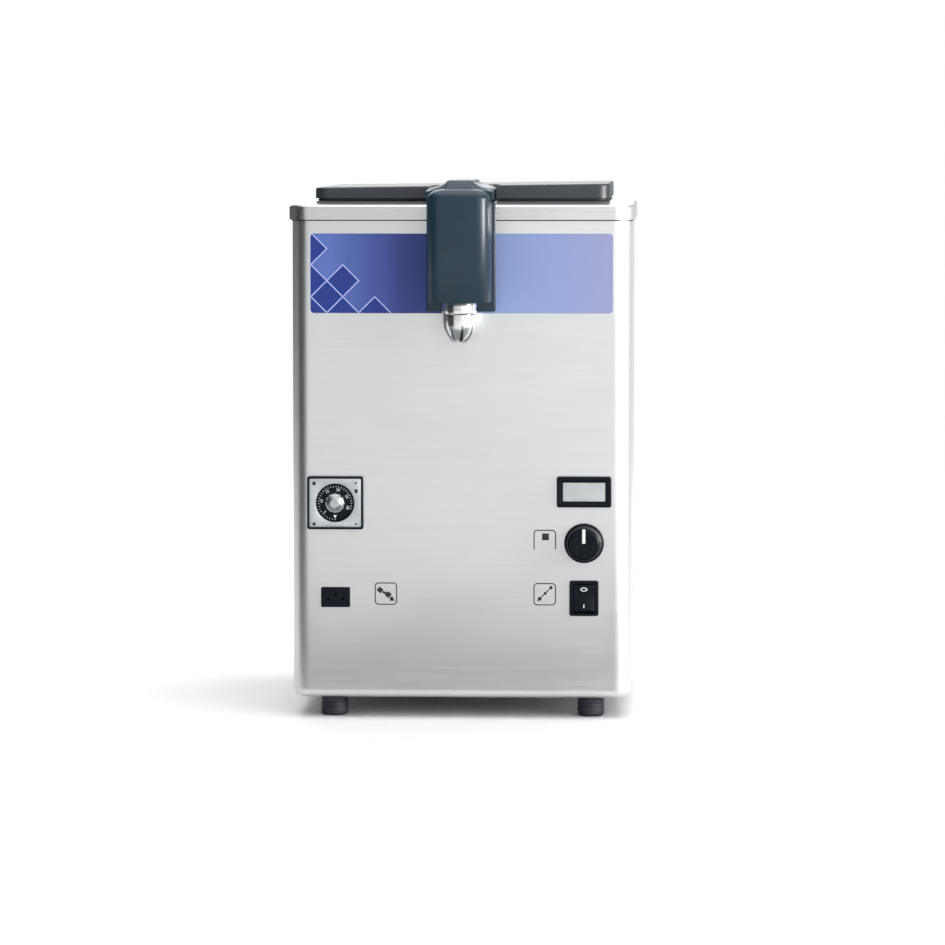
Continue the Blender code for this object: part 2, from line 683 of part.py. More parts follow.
def evaporator_coil():
    """Refrigerant pipe wound round the tub."""
    corner = rounded_rectangle(-COIL_X, COIL_X, COIL_Y[0], COIL_Y[1], 0.010, 2)
    first = next(i for i, (x, y) in enumerate(corner) if x < -COIL_X + 1e-6 and y < 0)
    corner = corner[first:] + corner[:first]
    steps = len(corner)
    route = [Vector((*coil_tails()[0], TUB_FLOOR - 0.036)), Vector((*coil_tails()[0], COIL_LOW - 0.006))]
    for i in range(COIL_TURNS * steps + steps // 2):
        x, y = corner[i % steps]
        route.append(Vector((x, y, COIL_LOW + COIL_PITCH * i / steps)))
    end_x, end_y = coil_tails()[1]
    top = route[-1].z
    route.append(Vector((end_x, end_y + 0.004, top - 0.004)))
    route.append(Vector((end_x, end_y, top - 0.012)))
    route.append(Vector((end_x, end_y, TUB_FLOOR - 0.036)))
    pipe("evaporator_coil", route, COIL_R, "copper")


def insulation():
    """Foam jacket round the tub and its coil, open at the top."""
    jacket = box("insulation", (-0.130, -0.0612, TUB_FLOOR - 0.030), (0.130, 0.180, DECK_TOP - 0.006),
                 "white_foam", 0.004, 1)
    low = (-COIL_X - COIL_R - GAP, COIL_Y[0] - COIL_R - GAP, TUB_FLOOR - TUB_WALL - GAP)
    high = (COIL_X + COIL_R * 3.4 + GAP, COIL_Y[1] + COIL_R + GAP, DECK_TOP)
    cut(jacket, box("cut_tub_space", low, high, None))
    for i, (x, y) in enumerate(coil_tails(), start=1):
        tool = cylinder(f"cut_coil_tail_{i}", (x, y, TUB_FLOOR - 0.02), COIL_R + 0.0006, 0.05, "Z", None, 16)
        cut(jacket, tool)


def compressor():
    """Hermetic compressor: two welded half shells on a mounting plate, with a terminal cover."""
    x, y = COMPRESSOR
    profile = ((0, 0.166), (0.024, 0.163), (0.045, 0.152), (0.0565, 0.128), (0.0565, 0.106),
               (0.0600, 0.106), (0.0600, 0.101), (0.0565, 0.101), (0.0565, 0.072), (0.051, 0.052),
               (0.036, 0.040), (0, 0.037))
    body = turned("compressor", profile, "black_enamel", (x, y, 0), steps=16)
    weld_on(body, box("join_compressor_plate", (x - 0.062, y - 0.052, 0.0345), (x + 0.062, y + 0.052, 0.0385), None),
            box("join_terminal_cover", (x - 0.066, y - 0.022, 0.070), (x - 0.040, y + 0.022, 0.120), None))
    for i, (dx, dy) in enumerate(((-1, -1), (1, -1), (-1, 1), (1, 1)), start=1):
        foot = cylinder(f"join_grommet_{i}", (x + dx * 0.052, y + dy * 0.042, 0.0282), 0.0075, 0.0150, "Z", None, 10)
        weld_on(body, foot)


def condenser():
    """Finned block behind the rear slots, and the pipe that snakes across it."""
    x_low, x_high = -0.132, -0.012
    pitch, fin = 0.006, 0.0012
    depth = CONDENSER_DEPTH
    spine = 0.0016
    outline = [(x_low, 0), (x_high, 0)]
    for i in range(round((x_high - x_low) / pitch), 0, -1):
        right = x_low + i * pitch
        left = right - fin
        outline += [(right, -spine), (right, -depth), (left, -depth), (left, -spine)]
    outline += [(x_low + fin, -spine), (x_low + fin, -depth), (x_low, -depth)]
    fins = plate("condenser_fins", [outline], 0.126, "aluminium", (0, CONDENSER_BACK, FAN_Z))
    fins.data.shade_flat()

    rows = 5
    y = CONDENSER_PIPE_Y
    reach = 0.052
    route = []
    for row in range(rows):
        z = FAN_Z + 0.052 - 0.026 * row
        side = 1 if row % 2 == 0 else -1
        route.append((FAN_X + side * reach, y, z))
        route.append((FAN_X - side * reach, y, z))
        if row < rows - 1:
            for step in (1, 2, 3):
                angle = math.pi * step / 4
                route.append((FAN_X - side * (reach + 0.006 * math.sin(angle)), y,
                              z - 0.013 * (1 - math.cos(angle))))
    pipe("condenser_coil", route, CONDENSER_PIPE_R, "copper")


def fan():
    """Axial fan: a shroud plate, a motor on a bracket, and a five-bladed rotor."""
    half = 0.060
    ring = [(0.051 * math.cos(a), 0.051 * math.sin(a)) for a in (math.tau * i / 28 for i in range(28))]
    square = rounded_rectangle(-half, half, -half, half, 0.004, 2)
    plate("fan_shroud", [square, ring], 0.0015, "zinc", (FAN_X, 0.152, FAN_Z), (math.pi / 2, 0, 0))

    profile = ((0, 0.014), (0.012, 0.014), (0.020, 0.011), (0.021, 0.008), (0.021, -0.012), (0.018, -0.015),
               (0.003, -0.015), (0.003, -0.0152), (0, -0.0152))
    motor = turned("fan_motor", profile, "black_enamel", (FAN_X, 0.108, FAN_Z), "-Y", 16)
    weld_on(motor, box("join_fan_post", (FAN_X - 0.012, 0.104, 0.0215), (FAN_X + 0.012, 0.110, FAN_Z), None),
            box("join_fan_foot", (FAN_X - 0.018, 0.096, 0.0208), (FAN_X + 0.018, 0.118, 0.0235), None))
    cut(motor, cylinder("cut_fan_bore", (FAN_X, 0.120, FAN_Z), 0.0026, 0.014, "Y", None, 12))

    centre = (FAN_X, 0.138, FAN_Z)
    rotor = cylinder("fan_blades", centre, 0.013, 0.012, "Y", "black_plastic", 24)
    weld_on(rotor, cylinder("join_fan_spindle", (FAN_X, 0.125, FAN_Z), 0.0020, 0.020, "Y", None, 12))
    for i in range(5):
        low, high = (0.010, -0.0007, -0.0140), (FAN_R, 0.0007, 0.0140)
        blade = box(f"join_blade_{i + 1}", low, high, None)
        pitch = Matrix.Rotation(math.radians(58), 4, "X")
        place = Matrix.Rotation(math.tau * i / 5, 4, "Y")
        blade.matrix_world = Matrix.Translation(centre) @ place @ pitch
        weld_on(rotor, blade)


def refrigerant_lines():
    """Pipes between the compressor, the condenser, the drier and the evaporator."""
    x, y = COMPRESSOR
    inlet = coil_tails()[1]
    suction = smooth_route(((*inlet, TUB_FLOOR - 0.0365), (*inlet, TUB_FLOOR - 0.050), (0.112, y + 0.050, 0.205),
                            (0.100, y + 0.030, 0.192), (x + 0.024, y + 0.012, 0.180), (x + 0.022, y + 0.010, 0.1665)))
    pipe("suction_line", suction, 0.0040, "copper")
    coil_start = (FAN_X + 0.052 + GAP, CONDENSER_PIPE_Y, FAN_Z + 0.052)
    discharge = smooth_route(((x - 0.030, y + 0.006, 0.1640), (x - 0.034, y + 0.010, 0.180), (0.012, y + 0.030, 0.190),
                              (0.004, 0.138, 0.178), (0.002, 0.156, 0.158), (-0.008, coil_start[1], coil_start[2]),
                              (-0.0145, coil_start[1], coil_start[2]), coil_start), 3)
    pipe("discharge_line", discharge, CONDENSER_PIPE_R, "copper")
    profile = ((0, 0.038), (0.0030, 0.038), (0.0032, 0.030), (0.0090, 0.024), (0.0090, -0.024), (0.0032, -0.030),
               (0.0030, -0.038), (0, -0.038))
    turned("filter_drier", profile, "copper", (0.010, 0.176, 0.090), steps=16)


def electrics():
    """Control board, motor capacitor and the mains inlet."""
    wall = -SHELL_HALF + SHEET
    board = box("control_board", (wall + 0.0060, -0.050, 0.060), (wall + 0.0076, 0.044, 0.165), "board_green")
    blocks = (
        ((-0.045, 0.070), (0.018, 0.028), 0.016),
        ((-0.022, 0.070), (0.018, 0.028), 0.016),
        ((0.004, 0.072), (0.034, 0.038), 0.026),
        ((-0.044, 0.112), (0.030, 0.010), 0.009),
        ((-0.006, 0.124), (0.040, 0.012), 0.012),
        ((-0.040, 0.140), (0.014, 0.014), 0.006),
    )
    for i, ((y, z), (depth, height), tall) in enumerate(blocks, start=1):
        low, high = (wall + 0.0070, y, z), (wall + 0.0076 + tall, y + depth, z + height)
        weld_on(board, box(f"join_component_{i}", low, high, None))
    for i, (y, z) in enumerate(((-0.045, 0.064), (0.039, 0.064), (-0.045, 0.161), (0.039, 0.161)), start=1):
        centre = (wall + GAP + 0.0032, y, z)
        weld_on(board, cylinder(f"join_spacer_{i}", centre, 0.0025, 0.0064, "X", None, 10))

    profile = ((0, 0.094), (0.0060, 0.094), (0.0060, 0.086), (0.0160, 0.086), (0.0170, 0.084), (0.0170, 0.0225),
               (0.0155, 0.0210), (0, 0.0210))
    turned("run_capacitor", profile, "white_plastic", (0.100, -0.030, 0), steps=14)

    x, z = INLET
    outside = BACK + GAP + SHEET + GAP
    inlet = box("mains_inlet", (x - 0.0175, outside, z - 0.0135), (x + 0.0175, outside + 0.0030, z + 0.0135),
                "panel_black")
    weld_on(inlet, box("join_inlet_body", (x - 0.0138, BACK - 0.0200, z - 0.0103),
                       (x + 0.0138, outside + 0.0010, z + 0.0103), None))
    cut(inlet, box("cut_inlet_recess", (x - 0.0120, BACK - 0.0160, z - 0.0085),
                   (x + 0.0120, outside + 0.01, z + 0.0085), None))
    for i, (dx, dz) in enumerate(((-0.0070, -0.0020), (0.0, 0.0020), (0.0070, -0.0020)), start=1):
        low = (x + dx - 0.0010, BACK - 0.0180, z + dz - 0.0020)
        high = (x + dx + 0.0010, BACK - 0.0045, z + dz + 0.0020)
        weld_on(inlet, box(f"join_inlet_pin_{i}", low, high, None))


# ---------------------------------------------------------------- drive and pump
BRACKET_TOP = 0.2243
SLOT_FLOOR = 0.4340
DOG_TOP = 0.4386
SHAFT_R = 0.004


def pump_motor():
    """Gear motor that hangs under its bracket."""
    x, y = -GEAR_X, PUMP_Y
    top = BRACKET_TOP - 0.002 - GAP
    profile = ((0, 0.192), (0.034, 0.192), (0.034, 0.086), (0.031, 0.082), (0.012, 0.082), (0.012, 0.076),
               (0, 0.076))
    motor = turned("pump_motor", profile, "zinc", (x, y, 0), steps=18)
    weld_on(motor, box("join_gearbox", (x - 0.030, y - 0.030, 0.188), (x + 0.030, y + 0.030, top), None))
    cut(motor, cylinder("cut_output_bore", (x, y, top), SHAFT_R + 0.0004, 0.040, "Z", None, 16))

    wide, foot, thick, leg = 0.0445, 0.014, 0.002, 0.0208
    outline = [
        (-wide - foot, leg), (-wide + thick, leg), (-wide + thick, BRACKET_TOP - thick),
        (wide - thick, BRACKET_TOP - thick), (wide - thick, leg), (wide + foot, leg), (wide + foot, leg + thick),
        (wide, leg + thick), (wide, BRACKET_TOP), (-wide, BRACKET_TOP), (-wide, leg + thick),
        (-wide - foot, leg + thick)]
    bracket = plate("motor_bracket", [outline], 0.056, "zinc", (x, y, 0), (math.pi / 2, 0, 0))
    cut(bracket, cylinder("cut_bracket_hole", (x, y, BRACKET_TOP), 0.0065, 0.02, "Z", None, 20))


def drive_shaft():
    """Long shaft from the motor up to a slotted dog under the pump."""
    profile = ((0, DOG_TOP), (0.0055, DOG_TOP), (0.0055, 0.4283), (SHAFT_R, 0.4270), (SHAFT_R, 0.2035), (0, 0.2035))
    shaft = turned("drive_shaft", profile, "bright_steel", (-GEAR_X, PUMP_Y, 0), steps=20)
    low = (-GEAR_X - 0.0015, PUMP_Y - 0.008, SLOT_FLOOR)
    high = (-GEAR_X + 0.0015, PUMP_Y + 0.008, DOG_TOP + 0.01)
    cut(shaft, box("cut_dog_slot", low, high, None))


def pump_well():
    """Shallow welded well under the deck, where the pump drops in."""
    room, wall = 0.001, 0.001
    low = (-PUMP_HALF - room, PUMP_Y - PUMP_HALF_DEPTH - room, PUMP_LOW - 0.006)
    high = (PUMP_HALF + room, PUMP_Y + PUMP_HALF_DEPTH + room, DECK_TOP - 0.0026)
    bm = cube_bmesh(low, high)
    top = max(bm.faces, key=lambda f: f.calc_center_median().z)
    bmesh.ops.delete(bm, geom=[top], context="FACES_ONLY")
    well = add_object("pump_well", mesh_from(bm, "pump_well"), "stainless")
    add_solidify(well, wall, offset=1.0)
    cut(well, cylinder("cut_well_shaft", (-GEAR_X, PUMP_Y, low[2]), 0.0062, 0.01, "Z", None, 20))
    cut(well, cylinder("cut_well_hose", (0.0145, PUMP_Y - 0.014, low[2]), 0.0036, 0.01, "Z", None, 16))


def gear_outline(phase):
    """Spur-gear outline with straight-sided teeth and room for backlash."""
    pitch_r = GEAR_MODULE * GEAR_TEETH / 2
    outer, root = pitch_r + GEAR_MODULE * GEAR_ADDENDUM, pitch_r - GEAR_MODULE * 1.20
    step = math.tau / GEAR_TEETH
    points = []
    for tooth in range(GEAR_TEETH):
        middle = phase + tooth * step
        for r, share in ((root, -0.34), (outer, -0.11), (outer, 0.11), (root, 0.34)):
            angle = middle + share * step
            points.append((r * math.cos(angle), r * math.sin(angle)))
    return points


def gears():
    """The pump's two equal gears. The driven one is turned half a tooth, so they mesh."""
    low, high = PUMP_TOP - 0.0110, PUMP_TOP - 0.0003
    middle, thick = (low + high) / 2, high - low
    half_tooth = math.pi / GEAR_TEETH
    driver = plate("drive_gear", [gear_outline(0.0)], thick, "bright_steel", (-GEAR_X, PUMP_Y, middle))
    weld_on(driver, cylinder("join_drive_journal", (-GEAR_X, PUMP_Y, (DOG_TOP + GAP + low + 0.002) / 2), 0.003,
                             low + 0.002 - DOG_TOP - GAP, "Z", None, 12),
            box("join_tongue", (-GEAR_X - 0.0012, PUMP_Y - 0.0045, SLOT_FLOOR + 0.0004),
                (-GEAR_X + 0.0012, PUMP_Y + 0.0045, DOG_TOP + 0.0006), None))
    driven = plate("driven_gear", [gear_outline(math.pi + half_tooth)], thick, "bright_steel",
                   (GEAR_X, PUMP_Y, middle))
    weld_on(driven, cylinder("join_driven_journal", (GEAR_X, PUMP_Y, low - 0.002), 0.003, 0.008, "Z", None, 12))


def pump():
    """Gear-pump body with its flange, gear chamber, bores and ports, and its cover plate."""
    y_low, y_high = PUMP_Y - PUMP_HALF_DEPTH, PUMP_Y + PUMP_HALF_DEPTH
    body = box("pump_body", (-PUMP_HALF, y_low, PUMP_LOW), (PUMP_HALF, y_high, PUMP_TOP), "white_plastic")
    flange_low, flange_high = DECK_TOP + GAP, DECK_TOP + 0.0028
    weld_on(body, box("join_pump_flange", (-0.0255, y_low - 0.0035, flange_low),
                      (0.0255, y_high + 0.0035, flange_high), None))
    chamber_r = GEAR_MODULE * (GEAR_TEETH / 2 + GEAR_ADDENDUM) + 0.0004
    floor = PUMP_TOP - 0.0113
    for name, x in (("drive", -GEAR_X), ("driven", GEAR_X)):
        centre = (x, PUMP_Y, (floor + PUMP_TOP + 0.01) / 2)
        cut(body, cylinder(f"cut_{name}_chamber", centre, chamber_r, PUMP_TOP + 0.01 - floor, "Z", None, 24))
    top, start = floor + 0.002, DOG_TOP - 0.001
    cut(body, cylinder("cut_drive_bore", (-GEAR_X, PUMP_Y, (top + start) / 2), 0.0033, top - start, "Z", None, 12),
        cylinder("cut_driven_bore", (GEAR_X, PUMP_Y, floor - 0.003), 0.0033, 0.010, "Z", None, 12),
        cylinder("cut_dog_bore", (-GEAR_X, PUMP_Y, DOG_TOP + 0.0008 - 0.010), 0.0064, 0.020, "Z", None, 16))
    for name, y in (("outlet", y_low), ("inlet", y_high)):
        reach = PUMP_HALF_DEPTH + 0.004
        middle = (0, (y + PUMP_Y) / 2 + (y - PUMP_Y) * 0.05, PORT_Z - 0.002)
        cut(body, cylinder(f"cut_{name}", middle, 0.0015, reach, "Y", None, 12))
    cut(body, cylinder("cut_air_port", (0.0145, PUMP_Y - 0.014, PUMP_LOW + 0.004), 0.0014, 0.014, "Z", None, 12))
    box("pump_cover", (-0.0195, y_low + 0.002, PUMP_TOP + GAP), (0.0195, y_high - 0.002, PUMP_TOP + 0.0028),
        "white_plastic", 0.0008, 2)


def cream_tubes():
    """Suction tube down into the tub, and delivery tube over the rim to the head."""
    y_in = PUMP_Y + PUMP_HALF_DEPTH + 0.0040
    down_y, bend = TUB_FRONT + 0.0062, 0.009
    route = [(0, y_in, PORT_Z), (0, down_y - bend, PORT_Z)]
    for step in range(1, 5):
        angle = math.pi / 2 * step / 4
        route.append((0, down_y - bend + bend * math.sin(angle), PORT_Z - bend + bend * math.cos(angle)))
    route.append((0, down_y, TUB_FLOOR + 0.014))
    pipe("suction_tube", route, 0.0030, "bright_steel")

    y_out = PUMP_Y - PUMP_HALF_DEPTH - 0.0040
    bend = 0.006
    route = [(0, y_out, PORT_Z), (0, NOZZLE_Y + bend, PORT_Z)]
    for step in range(1, 5):
        angle = math.pi / 2 * step / 4
        route.append((0, NOZZLE_Y + bend - bend * math.sin(angle), PORT_Z - bend + bend * math.cos(angle)))
    route.append((0, NOZZLE_Y, 0.4478))
    pipe("delivery_tube", route, 0.0030, "bright_steel")


# ---------------------------------------------------------------- whipping head
def bell_section(half, low, shrink):
    """Cross-section of the neck: upright sides, a low shoulder and a narrow raised top."""
    top = HUMP_TOP - shrink
    right = [
        (half - shrink, low), (half - shrink, 0.4612 - shrink * 0.8), (0.0240 - shrink * 0.6, 0.4635 - shrink),
        (0.0165 - shrink * 0.4, 0.4657 - shrink), (0.0118 - shrink * 0.4, 0.4688 - shrink),
        (0.0100 - shrink * 0.4, top)]
    left = [(-x, z) for x, z in reversed(right)]
    return right + left


def neck_form(name, shrink, low, y_front, y_back, finish):
    """The neck, from the head back over the rim, with its rear end rounded down."""
    rings = []
    stations = ((y_front, 0.0075, 0.0), (y_front + 0.013, 0.0, 0.0), (y_back - 0.012, 0.0, 0.0),
                (y_back - 0.004, 0.0014, 0.0), (y_back, 0.0050, 0.002))
    for y, drop, squeeze in stations:
        ring = []
        for x, z in bell_section(NECK_HALF - squeeze, low, shrink):
            fall = drop * max(0.0, (z - 0.4595) / (HUMP_TOP - 0.4595))
            ring.append((x, y, z - fall))
        rings.append(ring)
    return loft(name, rings, finish)


def column_form(name, shrink, low, y_back, finish):
    """The upright front of the head, with rounded corners and a hipped top."""
    levels = (
        (low, 0.0), (HEAD_SHOULDER - 0.0016 - shrink, 0.0), (HEAD_SHOULDER - shrink, 0.0012),
        (HEAD_SHOULDER + 0.0022 - shrink, 0.0055), (HEAD_SLOPE_TOP - shrink, 0.0140),
    )
    rings = []
    for z, inset in levels:
        half = HEAD_HALF - shrink - inset
        corner = max(0.0118 - shrink - inset * 0.6, 0.0020)
        outline = rounded_rectangle(-half, half, HEAD_FRONT + shrink + inset * 0.8, y_back + 0.03, corner, 5)
        rings.append([(x, min(y, y_back), z) for x, y in outline])
    return loft(name, rings, finish)


def head_cover():
    """One hollow moulding: the upright front of the head and the neck over the rim."""
    cover = column_form("head_cover", 0.0, HEAD_LOW, HEAD_BACK, "black_plastic")
    weld_on(cover, neck_form("join_neck", 0.0, NECK_LOW, HEAD_FRONT + 0.021, NECK_BACK, None))
    cut(cover, column_form("cut_column", HEAD_WALL, HEAD_LOW + HEAD_WALL, HEAD_BACK + 0.01, None),
        neck_form("cut_neck", HEAD_WALL, NECK_LOW - 0.012, HEAD_FRONT + 0.023, NECK_BACK - HEAD_WALL, None))
    hole = cylinder("cut_head_outlet", (0, NOZZLE_Y, HEAD_LOW), 0.0132, 0.02, "Z", None, 32)
    cut(cover, hole)

    low = (-0.0300, HEAD_BACK + GAP, COLLAR_LOW + 0.0012)
    high = (0.0300, HEAD_BACK + GAP + 0.0038, DECK_TOP)
    box("head_back_plate", low, high, "black_plastic", 0.0012, 2)


def labyrinth():
    """Tube with a stack of baffles that whips air into the cream."""
    low, top = HEAD_LOW + HEAD_WALL + GAP, 0.4473
    ring = ((0.0026, top), (0.0115, top), (0.0120, top - 0.0006), (0.0120, low), (0.0100, low),
            (0.0100, top - 0.0025), (0.0026, top - 0.0025))
    turned("labyrinth_tube", ring, "white_plastic", (0, NOZZLE_Y, 0), steps=20, closed=True)
    discs = 5
    start, pitch, thick = 0.4400, 0.0135, 0.0035
    profile = [(0, start)]
    for i in range(discs):
        z = start - i * pitch
        profile += [(0.0093, z), (0.0093, z - thick)]
        if i < discs - 1:
            profile += [(0.0030, z - thick), (0.0030, z - pitch)]
    profile.append((0, start - (discs - 1) * pitch - thick))
    turned("baffle_core", profile, "white_plastic", (0, NOZZLE_Y, 0), steps=16)


def nozzle():
    """Bayonet collar and the star nozzle that it holds."""
    top = HEAD_LOW - GAP
    ring = ((0.0090, HEAD_LOW + 0.0017), (0.0125, HEAD_LOW + 0.0017), (0.0125, top), (COLLAR_R - 0.0004, top),
            (COLLAR_R, top - 0.0005), (COLLAR_R, COLLAR_LOW + 0.0009), (COLLAR_R - 0.0009, COLLAR_LOW),
            (0.0090, COLLAR_LOW))
    turned("nozzle_collar", ring, "bright_steel", (0, NOZZLE_Y, 0), steps=28, closed=True)

    height, wall = COLLAR_LOW - GAP - NOZZLE_TIP, 0.0011
    top_r, tip_r = 0.0144, 0.0062
    outer = []
    for share in (0.0, 0.36, 0.60, 0.80, 1.0):
        radius = tip_r + (top_r - tip_r) * (1 - share ** 3)
        outer.append((radius, NOZZLE_TIP + height * (1 - share)))
    inner = [(radius - wall, z) for radius, z in outer]
    ring = outer + list(reversed(inner))
    star = turned("star_nozzle", ring, "bright_steel", (0, NOZZLE_Y, 0), steps=32, closed=True)
    for i in range(TEETH):
        slot = tooth_gap(f"cut_slot_{i + 1}")
        turn = Matrix.Rotation(math.radians(13) + math.tau * i / TEETH, 4, "Z")
        slot.matrix_world = Matrix.Translation((0, NOZZLE_Y, 0)) @ turn
        cut(star, slot)


def tooth_gap(name):
    """Wedge between two teeth, wide at the tip and pointed at its top, reaching outwards along +X."""
    top, low = NOZZLE_TIP + 0.0150, NOZZLE_TIP - 0.002
    wide = 0.0021
    rings = []
    for x in (0.0022, 0.0180):
        half = wide * (0.45 if x < 0.01 else 1.35)
        rings.append([(x, -half, low), (x, half, low), (x, 0.0001, top), (x, -0.0001, top)])
    return loft(name, rings, None)


# ---------------------------------------------------------------- lid
def lid():
    """Insulated lid with a notch for the neck, and its gasket, open at the notch."""
    y_low, y_high = FRONT - DECK_OVERHANG + LID_INSET, BACK + DECK_OVERHANG - LID_INSET
    outline = rounded_rectangle(-LID_HALF, LID_HALF, y_low, y_high, LID_CORNER, 4)
    slab = loft("lid", [[(x, y, LID_LOW) for x, y in outline], [(x, y, lid_top(x)) for x, y in outline]],
                "slate_plastic")
    notch_low = (-NOTCH_HALF, y_low - 0.01, LID_LOW - 0.01)
    notch_high = (NOTCH_HALF, NOTCH_BACK, LID_TOP_RIGHT + 0.01)
    cut(slab, box("cut_lid_notch", notch_low, notch_high, None))
    add_bevel(slab, 0.0016, 2)

    inset, wide = 0.0022, 0.0085
    outer = rounded_rectangle(-LID_HALF + inset, LID_HALF - inset, y_low + inset, y_high - inset, 0.009, 3)
    reach = inset + wide
    inner = rounded_rectangle(-LID_HALF + reach, LID_HALF - reach, y_low + reach, y_high - reach, 0.004, 3)
    thick = LID_LOW - DECK_TOP - 2 * GAP
    gasket = plate("lid_gasket", [outer, inner], thick, "rubber", (0, 0, DECK_TOP + GAP + thick / 2))
    low = (-NOTCH_HALF - inset, y_low - 0.01, DECK_TOP - 0.01)
    cut(gasket, box("cut_gasket_gap", low, (NOTCH_HALF + inset, y_low + 0.03, LID_LOW + 0.01), None))


def lid_top(x):
    share = (x + LID_HALF) / (2 * LID_HALF)
    return LID_TOP_LEFT + (LID_TOP_RIGHT - LID_TOP_LEFT) * share


def build():
    clear_scene()
    outer_shell()
    top_deck()
    rear_panel()
    base_pan()
    feet()
    wall_buffers()
    front_band()
    timer()
    thermometer()
    power_switch()
    foot_switch_socket()
    air_control()
    tub()
    evaporator_coil()
    insulation()
    compressor()
    condenser()
    fan()
    refrigerant_lines()
    electrics()
    pump_motor()
    drive_shaft()
    pump_well()
    gears()
    pump()
    cream_tubes()
    head_cover()
    labyrinth()
    nozzle()
    lid()


build()
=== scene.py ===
"""Looks of a counter-top machine that whips and dispenses cream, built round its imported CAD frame.

Every sub-assembly is a class that reads its places from the frame, makes its pieces and dresses them.
Lengths are metres in the CAD's frame: -Y is the front, +Z is up.
"""
import json
import logging
import math
from dataclasses import dataclass, field
from enum import Enum
from typing import Sequence

import bmesh
import bpy
from mathutils import Matrix, Vector


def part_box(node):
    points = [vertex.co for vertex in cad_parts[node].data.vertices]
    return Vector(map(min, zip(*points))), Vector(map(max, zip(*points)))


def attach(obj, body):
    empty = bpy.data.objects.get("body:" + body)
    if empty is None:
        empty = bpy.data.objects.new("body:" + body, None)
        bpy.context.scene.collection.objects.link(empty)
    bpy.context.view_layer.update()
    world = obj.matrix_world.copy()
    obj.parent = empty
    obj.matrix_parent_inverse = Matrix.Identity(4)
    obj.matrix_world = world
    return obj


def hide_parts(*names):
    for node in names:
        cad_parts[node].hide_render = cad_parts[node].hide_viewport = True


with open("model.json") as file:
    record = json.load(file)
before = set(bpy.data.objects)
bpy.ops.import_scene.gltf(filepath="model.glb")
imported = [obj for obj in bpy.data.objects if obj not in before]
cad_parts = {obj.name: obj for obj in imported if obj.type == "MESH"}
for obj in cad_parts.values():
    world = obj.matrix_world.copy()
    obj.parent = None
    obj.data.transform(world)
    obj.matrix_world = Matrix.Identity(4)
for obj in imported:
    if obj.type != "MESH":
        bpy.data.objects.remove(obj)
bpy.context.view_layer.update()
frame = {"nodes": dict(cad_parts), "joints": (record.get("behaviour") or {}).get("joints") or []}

LOG = logging.getLogger("cream_maker")
MM = 0.001
MERGE = 1e-6
CREASE = 35.0                # degrees past which an edge is shaded sharp
NOISE_SPAN = (0.3, 0.7)      # the middle values of a noise, which carry most of its marks
REACH = 10 * MM              # how far a cutting block stands out of the sheet that it cuts
PANEL_GAP = 0.3 * MM         # how far the fittings of the front panel stand off it
CASE_INSET = 2 * MM          # how much narrower a fitting's body is than its rim
INK = (-0.02 * MM, 0.06 * MM)    # how far a printed layer reaches below and above its surface

Point2 = tuple[float, float]
Point3 = tuple[float, float, float]
Shape = bmesh.types.BMesh


# ---------------------------------------------------------------- node trees
def linear(code: str) -> tuple[float, ...]:
    """Turns an sRGB hex colour into the linear colour that a node takes.

    Args:
        code: the colour, as "#RRGGBB".

    Returns:
        Linear red, green and blue, and an alpha of 1.
    """
    shares = [int(code[i:i + 2], 16) / 255 for i in (1, 3, 5)]
    return tuple(c / 12.92 if c <= 0.04045 else ((c + 0.055) / 1.055) ** 2.4 for c in shares) + (1.0,)


def add_node(tree: bpy.types.NodeTree, kind: str, settings: dict | None = None,
             links: dict | None = None) -> bpy.types.Node:
    """Adds one node to a shader or geometry tree.

    Args:
        tree: the tree that takes the node.
        kind: the node's Blender type name.
        settings: values by name of a node property, or by name or number of an input socket.
        links: the output sockets that feed the inputs, by name or number of the input.

    Returns:
        The new node.
    """
    made = tree.nodes.new(kind)
    for key, value in (settings or {}).items():
        if isinstance(key, str) and key.islower() and hasattr(made, key):
            setattr(made, key, value)
        else:
            made.inputs[key].default_value = value
    for key, source in (links or {}).items():
        tree.links.new(source, made.inputs[key])
    return made


# ---------------------------------------------------------------- finishes
class Grain(Enum):
    """Which way the marks on a surface run, as the pattern's shrink along X, Y and Z."""

    EVEN = (1.0, 1.0, 1.0)
    WRAPPED = (0.012, 0.012, 1.0)
    ACROSS = (0.012, 1.0, 1.0)
    UPRIGHT = (1.0, 1.0, 0.012)
    TURNED = (0.4, 0.4, 1.0)


